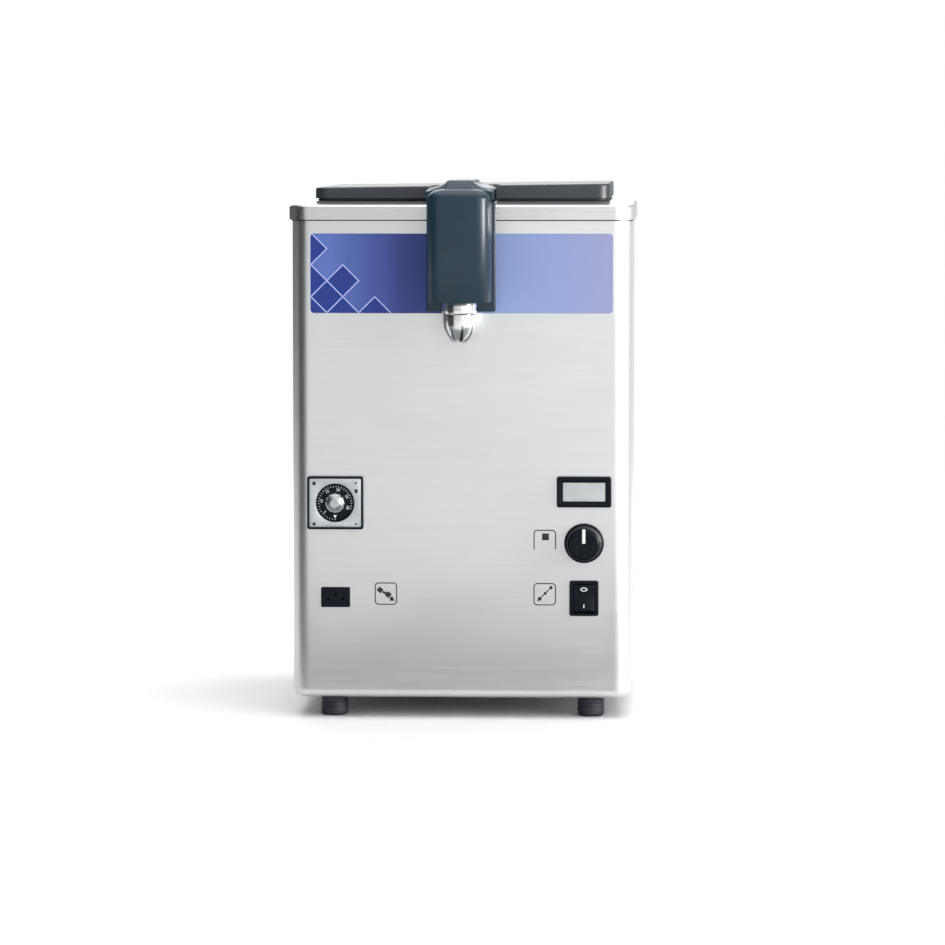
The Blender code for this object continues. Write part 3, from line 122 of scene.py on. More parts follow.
@dataclass(frozen=True)
class Finish:
    """One real material and the way its surface was made."""

    name: str
    slot: str
    colour: str
    second: str
    roughness: float
    metallic: float = 0.0
    ior: float = 1.5
    grain: Grain = Grain.EVEN
    grain_mm: float = 0.8
    depth_mm: float = 0.01
    swing: float = 0.05
    mottle_mm: float = 60.0
    coat: float = 0.0
    clear: float = 0.0
    shine: float = 0.5

    def colour_socket(self, tree: bpy.types.NodeTree, place: bpy.types.NodeSocket,
                      fine: bpy.types.NodeSocket) -> bpy.types.NodeSocket:
        """Mixes the two colours by a slow cloud and the fine grain.

        Args:
            tree: the material's tree.
            place: object coordinates.
            fine: the fine grain, 0 to 1.

        Returns:
            The socket that carries the colour.
        """
        cloud = add_node(tree, "ShaderNodeTexNoise", {"Scale": 1 / (self.mottle_mm * MM), "Detail": 2.0},
                         {"Vector": place})
        both = add_node(tree, "ShaderNodeMath", {"operation": "ADD"}, {0: cloud.outputs["Fac"], 1: fine})
        share = add_node(tree, "ShaderNodeMapRange",
                         {"From Min": 1 - NOISE_SPAN[0], "From Max": 1 + NOISE_SPAN[0]},
                         {"Value": both.outputs[0]})
        mix = add_node(tree, "ShaderNodeMix", {"data_type": "RGBA", 6: linear(self.colour),
                                               7: linear(self.second)}, {0: share.outputs["Result"]})
        return mix.outputs[2]

    def material(self) -> bpy.types.Material:
        """Makes the material once and gives the same one after that.

        Returns:
            The node-based material.
        """
        made = bpy.data.materials.get(self.name)
        if made:
            return made
        made = bpy.data.materials.new(self.name)
        made.use_nodes = True
        tree = made.node_tree
        shader = tree.nodes["Principled BSDF"]
        uniform = {"Metallic": self.metallic, "Coat Weight": self.coat, "Transmission Weight": self.clear}
        if not self.metallic:
            uniform |= {"IOR": self.ior, "Specular IOR Level": self.shine}
        for key, value in uniform.items():
            shader.inputs[key].default_value = value
        place = add_node(tree, "ShaderNodeTexCoord").outputs["Object"]
        stretch = add_node(tree, "ShaderNodeMapping", {"Scale": self.grain.value}, {"Vector": place})
        noise = add_node(tree, "ShaderNodeTexNoise",
                         {"Scale": 1 / (self.grain_mm * MM), "Detail": 3.0, "Roughness": 0.6},
                         {"Vector": stretch.outputs["Vector"]})
        fine = noise.outputs["Fac"]
        rough = add_node(tree, "ShaderNodeMapRange",
                         {"From Min": NOISE_SPAN[0], "From Max": NOISE_SPAN[1],
                          "To Min": self.roughness - self.swing,
                          "To Max": self.roughness + self.swing}, {"Value": fine})
        bump = add_node(tree, "ShaderNodeBump", {"Strength": 0.5, "Distance": self.depth_mm * MM},
                        {"Height": fine})
        tree.links.new(self.colour_socket(tree, place, fine), shader.inputs["Base Color"])
        tree.links.new(rough.outputs["Result"], shader.inputs["Roughness"])
        tree.links.new(bump.outputs["Normal"], shader.inputs["Normal"])
        return made


@dataclass(frozen=True)
class FilmWithPaintedShade(Finish):
    """Polyester film, printed on its back, whose colour fades along the band; some of its stops are painted
    shade.

    The first two stops are the two ends of the film, the others lie between them.
    """

    x_low: float = -0.13
    x_high: float = 0.13
    stops: tuple[tuple[float, str], ...] = ((0.0, "#6D7CBD"), (1.0, "#A3B1DF"))

    def colour_socket(self, tree: bpy.types.NodeTree, place: bpy.types.NodeSocket,
                      fine: bpy.types.NodeSocket) -> bpy.types.NodeSocket:
        """Fades the colour along X, painted shade included, with the grain of the print moving the fade a
        little.

        Args:
            tree: the material's tree.
            place: object coordinates.
            fine: the fine grain, 0 to 1.

        Returns:
            The socket that carries the colour.
        """
        split = add_node(tree, "ShaderNodeSeparateXYZ", links={"Vector": place})
        share = add_node(tree, "ShaderNodeMapRange", {"From Min": self.x_low, "From Max": self.x_high},
                         {"Value": split.outputs["X"]})
        shifted = add_node(tree, "ShaderNodeMath", {"operation": "MULTIPLY_ADD", 1: 0.03},
                         {0: fine, 2: share.outputs["Result"]})
        ramp = add_node(tree, "ShaderNodeValToRGB", links={"Fac": shifted.outputs[0]})
        ramp.color_ramp.interpolation = "EASE"
        for place_on_band, _ in self.stops[2:]:
            ramp.color_ramp.elements.new(place_on_band)
        for element, (share_of_band, code) in zip(ramp.color_ramp.elements, sorted(self.stops)):
            element.position = share_of_band
            element.color = linear(code)
        return ramp.outputs["Color"]


# 304 stainless sheet, belt-brushed level round the housing: broad soft reflections with fine level lines
BRUSHED_SHEET = Finish("brushed_stainless_sheet", "stainless", "#D3D5D5", "#DBDCDC", 0.34, 1.0,
                       grain=Grain.WRAPPED, grain_mm=0.9, depth_mm=0.004, swing=0.05, mottle_mm=90)
# the same sheet on the folded deck, brushed from side to side
BRUSHED_DECK = Finish("brushed_stainless_deck", "stainless", "#CCCECE", "#D6D8D8", 0.30, 1.0,
                      grain=Grain.ACROSS, grain_mm=0.9, depth_mm=0.004, swing=0.05, mottle_mm=90)
# deep-drawn and buffed stainless: clear reflections, a little cloudy where it was drawn
BUFFED_TUB = Finish("buffed_stainless_tub", "polished_steel", "#D9DBDC", "#C9CCCE", 0.20, 1.0,
                    grain=Grain.UPRIGHT, grain_mm=1.2, depth_mm=0.003, swing=0.05, mottle_mm=50)
# turned and polished stainless: sharp highlights with faint rings from the lathe
POLISHED_STEEL = Finish("polished_turned_stainless", "polished_steel", "#E4E6E7", "#D2D5D7", 0.20, 1.0,
                        grain=Grain.TURNED, grain_mm=0.7, depth_mm=0.003, swing=0.04, mottle_mm=15)
# zinc-plated pressed steel: dull grey with a faint crystal cloud
ZINC_STEEL = Finish("zinc_plated_steel", "zinc_steel", "#B9BCBD", "#A3A8AB", 0.42, 1.0,
                    grain_mm=3.0, depth_mm=0.006, swing=0.08, mottle_mm=12)
# moulded black ABS of the head: deep blue-black with a soft sheen and a spark-eroded grain
HEAD_ABS = Finish("moulded_abs_black", "black_plastic", "#132A38", "#183140", 0.34,
                  ior=1.54, grain_mm=0.45, depth_mm=0.012, swing=0.05, mottle_mm=40, shine=0.32)
# moulded ABS of the lid, a slate grey a little duller than the head
LID_ABS = Finish("moulded_abs_slate", "slate_plastic", "#2A3035", "#31373D", 0.42,
                 ior=1.54, grain_mm=0.55, depth_mm=0.014, swing=0.05, mottle_mm=70, shine=0.4)
# glass-filled nylon of the panel controls: near black, satin
PANEL_NYLON = Finish("moulded_nylon_black", "panel_black", "#070E16", "#0B131C", 0.30,
                     ior=1.53, grain_mm=0.4, depth_mm=0.008, swing=0.05, mottle_mm=12, shine=0.12)
# nylon fan rotor and other hidden black mouldings
HIDDEN_NYLON = Finish("moulded_nylon_fan", "black_plastic", "#14181B", "#1C2124", 0.48,
                      ior=1.53, grain_mm=0.6, depth_mm=0.01, swing=0.06, mottle_mm=25)
# vacuum-metallised polystyrene of the timer's plate: bright satin silver
SILVER_FACE = Finish("satin_silver_plate", "silver_plastic", "#B9BEC2", "#CED2D4", 0.34, 0.85,
                     grain=Grain.ACROSS, grain_mm=0.5, depth_mm=0.004, swing=0.05, mottle_mm=14)
# vacuum-metallised hub of the timer: mirror-like flutes that catch dark and light in turn
HUB_SILVER = Finish("metallised_hub", "silver_plastic", "#A6ABAE", "#C4C8CB", 0.26, 0.95,
                    grain_mm=0.5, depth_mm=0.003, swing=0.04, mottle_mm=9)
# blank liquid-crystal glass: flat grey-green with a faint streak
DISPLAY_GLASS = Finish("liquid_crystal_glass", "display_grey", "#AEB4B2", "#BCC1BF", 0.22,
                       ior=1.52, grain_mm=2.0, depth_mm=0.0, swing=0.03, mottle_mm=12, coat=0.5)
# matt white screen-printing ink
WHITE_INK = Finish("white_screen_ink", "panel_black", "#E6E9EA", "#DCE0E1", 0.55,
                   grain_mm=0.3, depth_mm=0.004, swing=0.05, mottle_mm=6)
# matt black screen-printing ink on the steel
BLACK_INK = Finish("black_screen_ink", "panel_black", "#141619", "#1D2023", 0.55,
                   grain_mm=0.3, depth_mm=0.004, swing=0.05, mottle_mm=6)
# polyester film of the band: satin, pale violet-blue, darker towards the left; the deepest stops, just left
# of the head, are painted shade of the head's shadow
BAND_FILM_WITH_PAINTED_SHADE = FilmWithPaintedShade("polyester_film_with_painted_shade", "blue_film", "#6D7CBD", "#A3B1DF", 0.40,
                      ior=1.57, grain_mm=0.5, depth_mm=0.005, swing=0.05, mottle_mm=40,
                      shine=0.3, x_low=-0.1314, x_high=0.1314,
                      stops=((0.0, "#5265A8"), (1.0, "#9298C0"), (0.07, "#536AB2"), (0.15, "#485EA2"),
                             (0.24, "#3D4E96"), (0.33, "#2E3E84"), (0.45, "#324188"), (0.60, "#8BA0D0"),
                             (0.80, "#8A9ACA")))
# the band's dark ink and its pale lines, on the same film
LOZENGE_INK = Finish("dark_blue_ink", "blue_film", "#122C80", "#1A3486", 0.40, ior=1.57,
                     grain_mm=0.5, depth_mm=0.004, swing=0.05, mottle_mm=10, shine=0.3)
LINE_INK = Finish("pale_blue_ink", "blue_film", "#9AA8DC", "#A6B2E2", 0.42, ior=1.57,
                  grain_mm=0.5, depth_mm=0.004, swing=0.05, mottle_mm=10)
# nitrile rubber of the feet, buffers and gasket: blue-black, matt, a little lighter in random dusty patches
RUBBER = Finish("moulded_nitrile_rubber", "rubber", "#0D0E20", "#181A2A", 0.62, ior=1.52,
                grain_mm=0.7, depth_mm=0.02, swing=0.08, mottle_mm=9)
# rigid polyurethane foam, cut faces: straw yellow with open cells
FOAM = Finish("rigid_polyurethane_foam", "foam", "#E2D3A4", "#CDBB84", 0.88, grain_mm=1.5,
              depth_mm=0.35, swing=0.06, mottle_mm=30)
# drawn copper tube, browned a little by air
COPPER = Finish("drawn_copper_tube", "copper", "#C77A52", "#9C5638", 0.30, 1.0, grain_mm=2.5,
                depth_mm=0.004, swing=0.08, mottle_mm=14)
# stove enamel on pressed steel: black, glossy, a little wavy like orange peel
BLACK_ENAMEL = Finish("stove_enamel_black", "black_enamel", "#101112", "#17191A", 0.24, ior=1.55,
                      grain_mm=2.2, depth_mm=0.03, swing=0.05, mottle_mm=40, coat=0.3)
# rolled aluminium fins and the turned valve body
ALUMINIUM = Finish("rolled_aluminium", "aluminium", "#BFC2C4", "#ABAFB2", 0.36, 1.0,
                   grain=Grain.UPRIGHT, grain_mm=0.8, depth_mm=0.004, swing=0.06, mottle_mm=20)
# machined acetal, safe for food: warm white and waxy
ACETAL = Finish("machined_acetal_white", "white_plastic", "#E4E4DE", "#D8D8D0", 0.36, ior=1.48,
                grain_mm=0.6, depth_mm=0.006, swing=0.05, mottle_mm=25)
# glass-epoxy board under green solder mask
SOLDER_MASK = Finish("glass_epoxy_board", "board_green", "#12512F", "#1B663C", 0.34, ior=1.55,
                     grain_mm=1.0, depth_mm=0.02, swing=0.06, mottle_mm=8)
# extruded clear silicone hose, a little milky
CLEAR_HOSE = Finish("extruded_silicone_hose", "clear_hose", "#D3DADB", "#C5CDCF", 0.26, ior=1.41,
                    grain_mm=1.6, depth_mm=0.004, swing=0.05, mottle_mm=15, clear=0.35)


# ---------------------------------------------------------------- geometry trees
class Repeat(Enum):
    """What a geometry tree does with the shape that it is given."""

    ROWS = "repeat_in_rows"
    RING = "repeat_in_ring"
    PIPE = "sweep_round_pipe"


TREE_INPUTS = {
    Repeat.ROWS: (("Columns", "NodeSocketInt"), ("Rows", "NodeSocketInt"),
                  ("Column Pitch", "NodeSocketVector"), ("Row Pitch", "NodeSocketVector")),
    Repeat.RING: (("Count", "NodeSocketInt"), ("Centre", "NodeSocketVector"), ("Axis", "NodeSocketVector"),
                  ("Step", "NodeSocketFloat")),
    Repeat.PIPE: (("Radius", "NodeSocketFloat"), ("Sides", "NodeSocketInt")),
}


def row_places(tree: bpy.types.NodeTree, given: bpy.types.bpy_prop_collection) -> bpy.types.NodeSocket:
    """Instances the given shape in rows and columns.

    Args:
        tree: the geometry tree.
        given: the tree's own inputs.

    Returns:
        The geometry socket with the instances.
    """
    count = add_node(tree, "ShaderNodeMath", {"operation": "MULTIPLY"},
                     {0: given["Columns"], 1: given["Rows"]})
    index = add_node(tree, "GeometryNodeInputIndex")
    column = add_node(tree, "ShaderNodeMath", {"operation": "MODULO"},
                      {0: index.outputs[0], 1: given["Columns"]})
    ratio = add_node(tree, "ShaderNodeMath", {"operation": "DIVIDE"},
                     {0: index.outputs[0], 1: given["Columns"]})
    row = add_node(tree, "ShaderNodeMath", {"operation": "FLOOR"}, {0: ratio.outputs[0]})
    along = add_node(tree, "ShaderNodeVectorMath", {"operation": "SCALE"},
                     {0: given["Column Pitch"], "Scale": column.outputs[0]})
    down = add_node(tree, "ShaderNodeVectorMath", {"operation": "SCALE"},
                    {0: given["Row Pitch"], "Scale": row.outputs[0]})
    place = add_node(tree, "ShaderNodeVectorMath", {"operation": "ADD"},
                     {0: along.outputs[0], 1: down.outputs[0]})
    points = add_node(tree, "GeometryNodePoints", links={"Count": count.outputs[0],
                                                         "Position": place.outputs[0]})
    copies = add_node(tree, "GeometryNodeInstanceOnPoints",
                      links={"Points": points.outputs[0], "Instance": given["Geometry"]})
    return copies.outputs[0]


def ring_places(tree: bpy.types.NodeTree, given: bpy.types.bpy_prop_collection) -> bpy.types.NodeSocket:
    """Instances the given shape round an axis.

    Args:
        tree: the geometry tree.
        given: the tree's own inputs.

    Returns:
        The geometry socket with the instances.
    """
    back = add_node(tree, "ShaderNodeVectorMath", {"operation": "SCALE", "Scale": -1.0},
                    {0: given["Centre"]})
    centred = add_node(tree, "GeometryNodeTransform",
                       links={"Geometry": given["Geometry"], "Translation": back.outputs[0]})
    index = add_node(tree, "GeometryNodeInputIndex")
    angle = add_node(tree, "ShaderNodeMath", {"operation": "MULTIPLY"},
                     {0: index.outputs[0], 1: given["Step"]})
    turn = add_node(tree, "FunctionNodeAxisAngleToRotation",
                    links={"Axis": given["Axis"], "Angle": angle.outputs[0]})
    points = add_node(tree, "GeometryNodePoints",
                      links={"Count": given["Count"], "Position": given["Centre"]})
    copies = add_node(tree, "GeometryNodeInstanceOnPoints",
                      links={"Points": points.outputs[0], "Instance": centred.outputs[0],
                             "Rotation": turn.outputs[0]})
    return copies.outputs[0]


def swept_route(tree: bpy.types.NodeTree, given: bpy.types.bpy_prop_collection) -> bpy.types.NodeSocket:
    """Sweeps a circle along the given chain of edges and fills its ends.

    Args:
        tree: the geometry tree.
        given: the tree's own inputs.

    Returns:
        The geometry socket with the pipe.
    """
    route = add_node(tree, "GeometryNodeMeshToCurve", links={"Mesh": given["Geometry"]})
    circle = add_node(tree, "GeometryNodeCurvePrimitiveCircle",
                      links={"Resolution": given["Sides"], "Radius": given["Radius"]})
    pipe = add_node(tree, "GeometryNodeCurveToMesh", {"Fill Caps": True},
                    {"Curve": route.outputs[0], "Profile Curve": circle.outputs[0]})
    return pipe.outputs[0]


TREE_WORK = {Repeat.ROWS: row_places, Repeat.RING: ring_places, Repeat.PIPE: swept_route}


def geometry_tree(kind: Repeat) -> bpy.types.NodeTree:
    """Builds a geometry tree once: its named inputs, its work, then Realize Instances and Set Material.

    Args:
        kind: what the tree does.

    Returns:
        The node group.
    """
    found = bpy.data.node_groups.get(kind.value)
    if found:
        return found
    tree = bpy.data.node_groups.new(kind.value, "GeometryNodeTree")
    for name, socket in (("Geometry", "NodeSocketGeometry"), *TREE_INPUTS[kind],
                         ("Finish", "NodeSocketMaterial")):
        tree.interface.new_socket(name, in_out="INPUT", socket_type=socket)
    tree.interface.new_socket("Geometry", in_out="OUTPUT", socket_type="NodeSocketGeometry")
    given = add_node(tree, "NodeGroupInput").outputs
    work = TREE_WORK[kind](tree, given)
    real = add_node(tree, "GeometryNodeRealizeInstances", links={"Geometry": work})
    merged = add_node(tree, "GeometryNodeMergeByDistance", {"Distance": MERGE},
                      {"Geometry": real.outputs[0]})
    dressed = add_node(tree, "GeometryNodeSetMaterial", links={"Geometry": merged.outputs[0],
                                                               "Material": given["Finish"]})
    add_node(tree, "NodeGroupOutput", links={"Geometry": dressed.outputs[0]})
    return tree


# ---------------------------------------------------------------- shapes
def scratch(shape: Shape) -> bpy.types.Object:
    """Puts a shape in the scene for a modifier to work on.

    Args:
        shape: the shape, which is freed.

    Returns:
        The object.
    """
    mesh = bpy.data.meshes.new("scratch")
    shape.to_mesh(mesh)
    shape.free()
    made = bpy.data.objects.new("scratch", mesh)
    bpy.context.scene.collection.objects.link(made)
    return made


def settled(obj: bpy.types.Object, *others: bpy.types.Object) -> Shape:
    """Reads an object's mesh with its modifiers applied, and removes it and its helpers.

    Args:
        obj: the object to read.
        others: helpers that go too.

    Returns:
        The finished shape.
    """
    bpy.context.view_layer.update()
    mesh = bpy.data.meshes.new_from_object(obj.evaluated_get(bpy.context.evaluated_depsgraph_get()))
    shape = bmesh.new()
    shape.from_mesh(mesh)
    bpy.data.meshes.remove(mesh)
    for gone in (obj, *others):
        data = gone.data
        bpy.data.objects.remove(gone)
        if isinstance(data, bpy.types.Mesh):
            bpy.data.meshes.remove(data)
        else:
            bpy.data.curves.remove(data)
    return shape


def grown(kind: Repeat, start: Shape, finish: Finish, **inputs: object) -> Shape:
    """Runs a geometry tree on a shape.

    Args:
        kind: the tree to run.
        start: the shape that the tree repeats or sweeps.
        finish: what the result is made of.
        inputs: the tree's inputs, with _ for a space.

    Returns:
        The plain shape that comes out.
    """
    tree = geometry_tree(kind)
    holder = scratch(start)
    work = holder.modifiers.new("grow", "NODES")
    work.node_group = tree
    sockets = {item.name: item.identifier for item in tree.interface.items_tree if item.in_out == "INPUT"}
    for name, value in inputs.items():
        work[sockets[name.replace("_", " ")]] = value
    work[sockets["Finish"]] = finish.material()
    return settled(holder)


def rowed(shape: Shape, finish: Finish, columns: int, rows: int, across: Vector,
          down: Vector = Vector()) -> Shape:
    """Repeats a shape in columns and rows."""
    return grown(Repeat.ROWS, shape, finish, Columns=columns, Rows=rows, Column_Pitch=across,
                 Row_Pitch=down)


def ringed(shape: Shape, finish: Finish, count: int, centre: Point3 = (0.0, 0.0, 0.0)) -> Shape:
    """Repeats a shape all the way round an upright axis."""
    return grown(Repeat.RING, shape, finish, Count=count, Centre=Vector(centre), Axis=Vector((0, 0, 1)),
                 Step=math.tau / count)


def carved(base: Shape, *tools: Shape, operation: str = "DIFFERENCE") -> Shape:
    """Cuts tools out of a shape, or joins or intersects them.

    Args:
        base: the shape to change.
        tools: the shapes to change it with.
        operation: Blender's name for the boolean.

    Returns:
        The new shape.
    """
    holder = scratch(base)
    others = [scratch(tool) for tool in tools]
    for other in others:
        change = holder.modifiers.new("change", "BOOLEAN")
        change.operation = operation
        change.solver = "EXACT"
        change.object = other
    return settled(holder, *others)


def thickened(sheet: Shape, wall: float, offset: float = -1.0) -> Shape:
    """Gives an open sheet its wall.

    Args:
        sheet: the open surface, with its faces outward.
        wall: how thick the wall is.
        offset: -1 puts the wall inside, 1 outside.

    Returns:
        The closed shape.
    """
    holder = scratch(sheet)
    solid = holder.modifiers.new("wall", "SOLIDIFY")
    solid.thickness = wall
    solid.offset = offset
    solid.use_even_offset = True
    return settled(holder)


def rounded_outline(low: Point2, high: Point2, radius: float, steps: int = 10) -> list[Point2]:
    """Draws a rectangle with round corners, anticlockwise.

    Args:
        low: its low corner.
        high: its high corner.
        radius: the corners' radius.
        steps: how many edges each corner has.

    Returns:
        The points of the outline.
    """
    points = []
    centres = ((high[0], high[1], -1, -1), (low[0], high[1], 1, -1), (low[0], low[1], 1, 1),
               (high[0], low[1], -1, 1))
    for quarter, (x, y, x_in, y_in) in enumerate(centres):
        for step in range(steps + 1):
            angle = math.pi / 2 * (quarter + step / steps)
            points.append((x + x_in * radius + radius * math.cos(angle),
                           y + y_in * radius + radius * math.sin(angle)))
    return points


def skinned(rings: Sequence[Sequence[Point3]], cap_low: bool = True, cap_high: bool = True) -> Shape:
    """Skins a stack of rings with the same number of points.

    Args:
        rings: the rings, from low to high, each anticlockwise from above.
        cap_low: whether the first ring is filled.
        cap_high: whether the last ring is filled.

    Returns:
        The skin.
    """
    shape = bmesh.new()
    loops = [[shape.verts.new(point) for point in ring] for ring in rings]
    for lower, upper in zip(loops, loops[1:]):
        for i, start in enumerate(lower):
            j = (i + 1) % len(lower)
            shape.faces.new((start, lower[j], upper[j], upper[i]))
    if cap_low:
        shape.faces.new(list(reversed(loops[0])))
    if cap_high:
        shape.faces.new(loops[-1])
    return shape


def centred_outline(half: Vector, inset: float, radius: float, steps: int = 8) -> list[Point2]:
    """Draws a rectangle with round corners about the origin, at an inset from its half size."""
    return rounded_outline((inset - half.x, inset - half.y), (half.x - inset, half.y - inset), radius,
                           steps)


def ellipse(wide: float, high: float, steps: int) -> list[Point2]:
    """Draws an ellipse about the origin from its two half axes."""
    return [(wide * math.cos(math.tau * i / steps), high * math.sin(math.tau * i / steps))
            for i in range(steps)]


def quarter(degrees: float) -> list[Point2]:
    """Steps through a quarter turn and gives 1 - cos and 1 - sin at every step."""
    angles = [math.radians(degrees * i) for i in range(round(90 / degrees) + 1)]
    return [(1 - math.cos(a), 1 - math.sin(a)) for a in angles]


def prism(outline: Sequence[Point2], low: float, high: float) -> Shape:
    """Stands a flat outline up between two heights."""
    return skinned([[(x, y, z) for x, y in outline] for z in (low, high)])


def collar(outer: Sequence[Point2], inner: Sequence[Point2], low: float, high: float) -> Shape:
    """Makes a flat ring between two outlines with the same number of points.

    Args:
        outer: the outer outline.
        inner: the inner outline.
        low: its lower height.
        high: its upper height.

    Returns:
        The closed ring.
    """
    levels = ((outer, low), (outer, high), (inner, high), (inner, low), (outer, low))
    shape = skinned([[(x, y, z) for x, y in line] for line, z in levels], False, False)
    bmesh.ops.remove_doubles(shape, verts=shape.verts, dist=MERGE)
    return shape


def block(low: Point3, high: Point3) -> Shape:
    """Makes a block between two corners."""
    return prism([(low[0], low[1]), (high[0], low[1]), (high[0], high[1]), (low[0], high[1])],
                 low[2], high[2])


def turned(profile: Sequence[Point2], steps: int = 48, closed: bool = False) -> Shape:
    """Turns a profile of (radius, height) points round Z.

    Args:
        profile: the points in order.
        steps: how many sides a turn has.
        closed: whether the last point joins the first.

    Returns:
        The turned shape.
    """
    shape = bmesh.new()
    rings = []
    for radius, height in profile:
        if radius < MERGE:
            rings.append([shape.verts.new((0, 0, height))] * steps)
        else:
            rings.append([shape.verts.new((radius * math.cos(math.tau * i / steps),
                                           radius * math.sin(math.tau * i / steps), height))
                          for i in range(steps)])
    pairs = list(zip(rings, rings[1:])) + ([(rings[-1], rings[0])] if closed else [])
    for one, two in pairs:
        for i in range(steps):
            j = (i + 1) % steps
            corners = list(dict.fromkeys((one[i], one[j], two[j], two[i])))
            if len(corners) > 2:
                shape.faces.new(corners)
    bmesh.ops.recalc_face_normals(shape, faces=shape.faces)
    return shape


def drill(radius: float, low: float, high: float, steps: int = 48) -> Shape:
    """Makes a round tool that stands on the origin, for a hole or a well."""
    return turned(((0, low), (radius, low), (radius, high), (0, high)), steps)


def moved(shape: Shape, place: Matrix) -> Shape:
    """Moves a shape by a matrix and gives it back."""
    bmesh.ops.transform(shape, matrix=place, verts=shape.verts)
    return shape


def on_front(x: float, y: float, z: float, turn: float = 0.0) -> Matrix:
    """Gives the place of a shape drawn flat, its +Z towards the user and its +Y up."""
    upright = Matrix.Rotation(math.pi / 2, 4, "X")
    return Matrix.Translation((x, y, z)) @ upright @ Matrix.Rotation(turn, 4, "Z")


def on_back(x: float, y: float, z: float) -> Matrix:
    """Gives the place of a shape drawn flat, its +Z away from the user."""
    return Matrix.Translation((x, y, z)) @ Matrix.Rotation(-math.pi / 2, 4, "X")


def middle(node: str) -> Point3:
    """Gives the middle of a CAD node's box."""
    return tuple((a + b) / 2 for a, b in zip(*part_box(node)))


def half_face(node: str) -> Vector:
    """Gives half the width and half the height of a CAD node, seen from the front."""
    low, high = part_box(node)
    return Vector(((high.x - low.x) / 2, (high.z - low.z) / 2))


def pivot(body: str) -> Point3:
    """Gives the point that a body turns about."""
    return next(joint["pos_m"] for joint in frame["joints"] if joint["child"] == body)


def softened(shape: Shape, width: float, segments: int = 3, angle: float = 30.0) -> Shape:
    """Rounds every edge that is sharper than an angle.

    Args:
        shape: a closed shape.
        width: the width of the rounding.
        segments: how many faces it has across.
        angle: the least angle between faces, in degrees.

    Returns:
        The same shape, rounded.
    """
    bmesh.ops.remove_doubles(shape, verts=shape.verts, dist=MERGE)
    bmesh.ops.recalc_face_normals(shape, faces=shape.faces)
    shape.normal_update()
    edges = [e for e in shape.edges
             if len(e.link_faces) == 2 and e.calc_face_angle(0.0) > math.radians(angle)]
    bmesh.ops.bevel(shape, geom=edges, offset=width, segments=segments, profile=0.5, affect="EDGES",
                    clamp_overlap=True)
    return shape


def joined(*shapes: Shape) -> Shape:
    """Puts separate shapes into one, without cutting them.

    Args:
        shapes: the shapes, which are freed.

    Returns:
        The whole.
    """
    whole = bmesh.new()
    for shape in shapes:
        mesh = bpy.data.meshes.new("part")
        shape.to_mesh(mesh)
        shape.free()
        whole.from_mesh(mesh)
        bpy.data.meshes.remove(mesh)
    return whole


def chain(points: Sequence[Point3]) -> Shape:
    """Makes a chain of edges for a pipe to follow.

    Args:
        points: the chain's points in order.

    Returns:
        The chain.
    """
    shape = bmesh.new()
    verts = [shape.verts.new(point) for point in points]
    for pair in zip(verts, verts[1:]):
        shape.edges.new(pair)
    return shape


def eased(points: Sequence[Point3], spacing: int = 6) -> list[Vector]:
    """Runs a smooth line through points.

    Args:
        points: the points to pass through.
        spacing: how many steps lie between two of them.

    Returns:
        The points of the smooth line.
    """
    knots = [Vector(p) for p in points]
    knots = [2 * knots[0] - knots[1]] + knots + [2 * knots[-1] - knots[-2]]
    line = []
    for a, b, c, d in zip(knots, knots[1:], knots[2:], knots[3:]):
        for step in range(spacing):
            t = step / spacing
            line.append(0.5 * (2 * b + (c - a) * t + (2 * a - 5 * b + 4 * c - d) * t ** 2
                               + (3 * b - a - 3 * c + d) * t ** 3))
    return line + [knots[-2]]


def merged_copy(node: str) -> Shape:
    """Copies a CAD node's mesh and joins its loose triangles into flat faces.

    Args:
        node: the CAD node.

    Returns:
        The copy.
    """
    shape = bmesh.new()
    shape.from_mesh(frame["nodes"][node].data)
    bmesh.ops.remove_doubles(shape, verts=shape.verts, dist=MERGE * 10)
    bmesh.ops.dissolve_limit(shape, angle_limit=math.radians(1.0), verts=shape.verts, edges=shape.edges)
    return shape


def figures(text: str, height: float) -> Shape:
    """Makes the flat mesh of a short number, centred on the origin.

    Args:
        text: the digits.
        height: their height.

    Returns:
        The shape, a twentieth of a millimetre thick.
    """
    curve = bpy.data.curves.new("figures", "FONT")
    curve.body = text
    curve.size = height * 1.4
    curve.align_x = "CENTER"
    curve.align_y = "CENTER"
    curve.extrude = 0.025 * MM
    curve.resolution_u = 3
    holder = bpy.data.objects.new("figures", curve)
    bpy.context.scene.collection.objects.link(holder)
    return settled(holder)


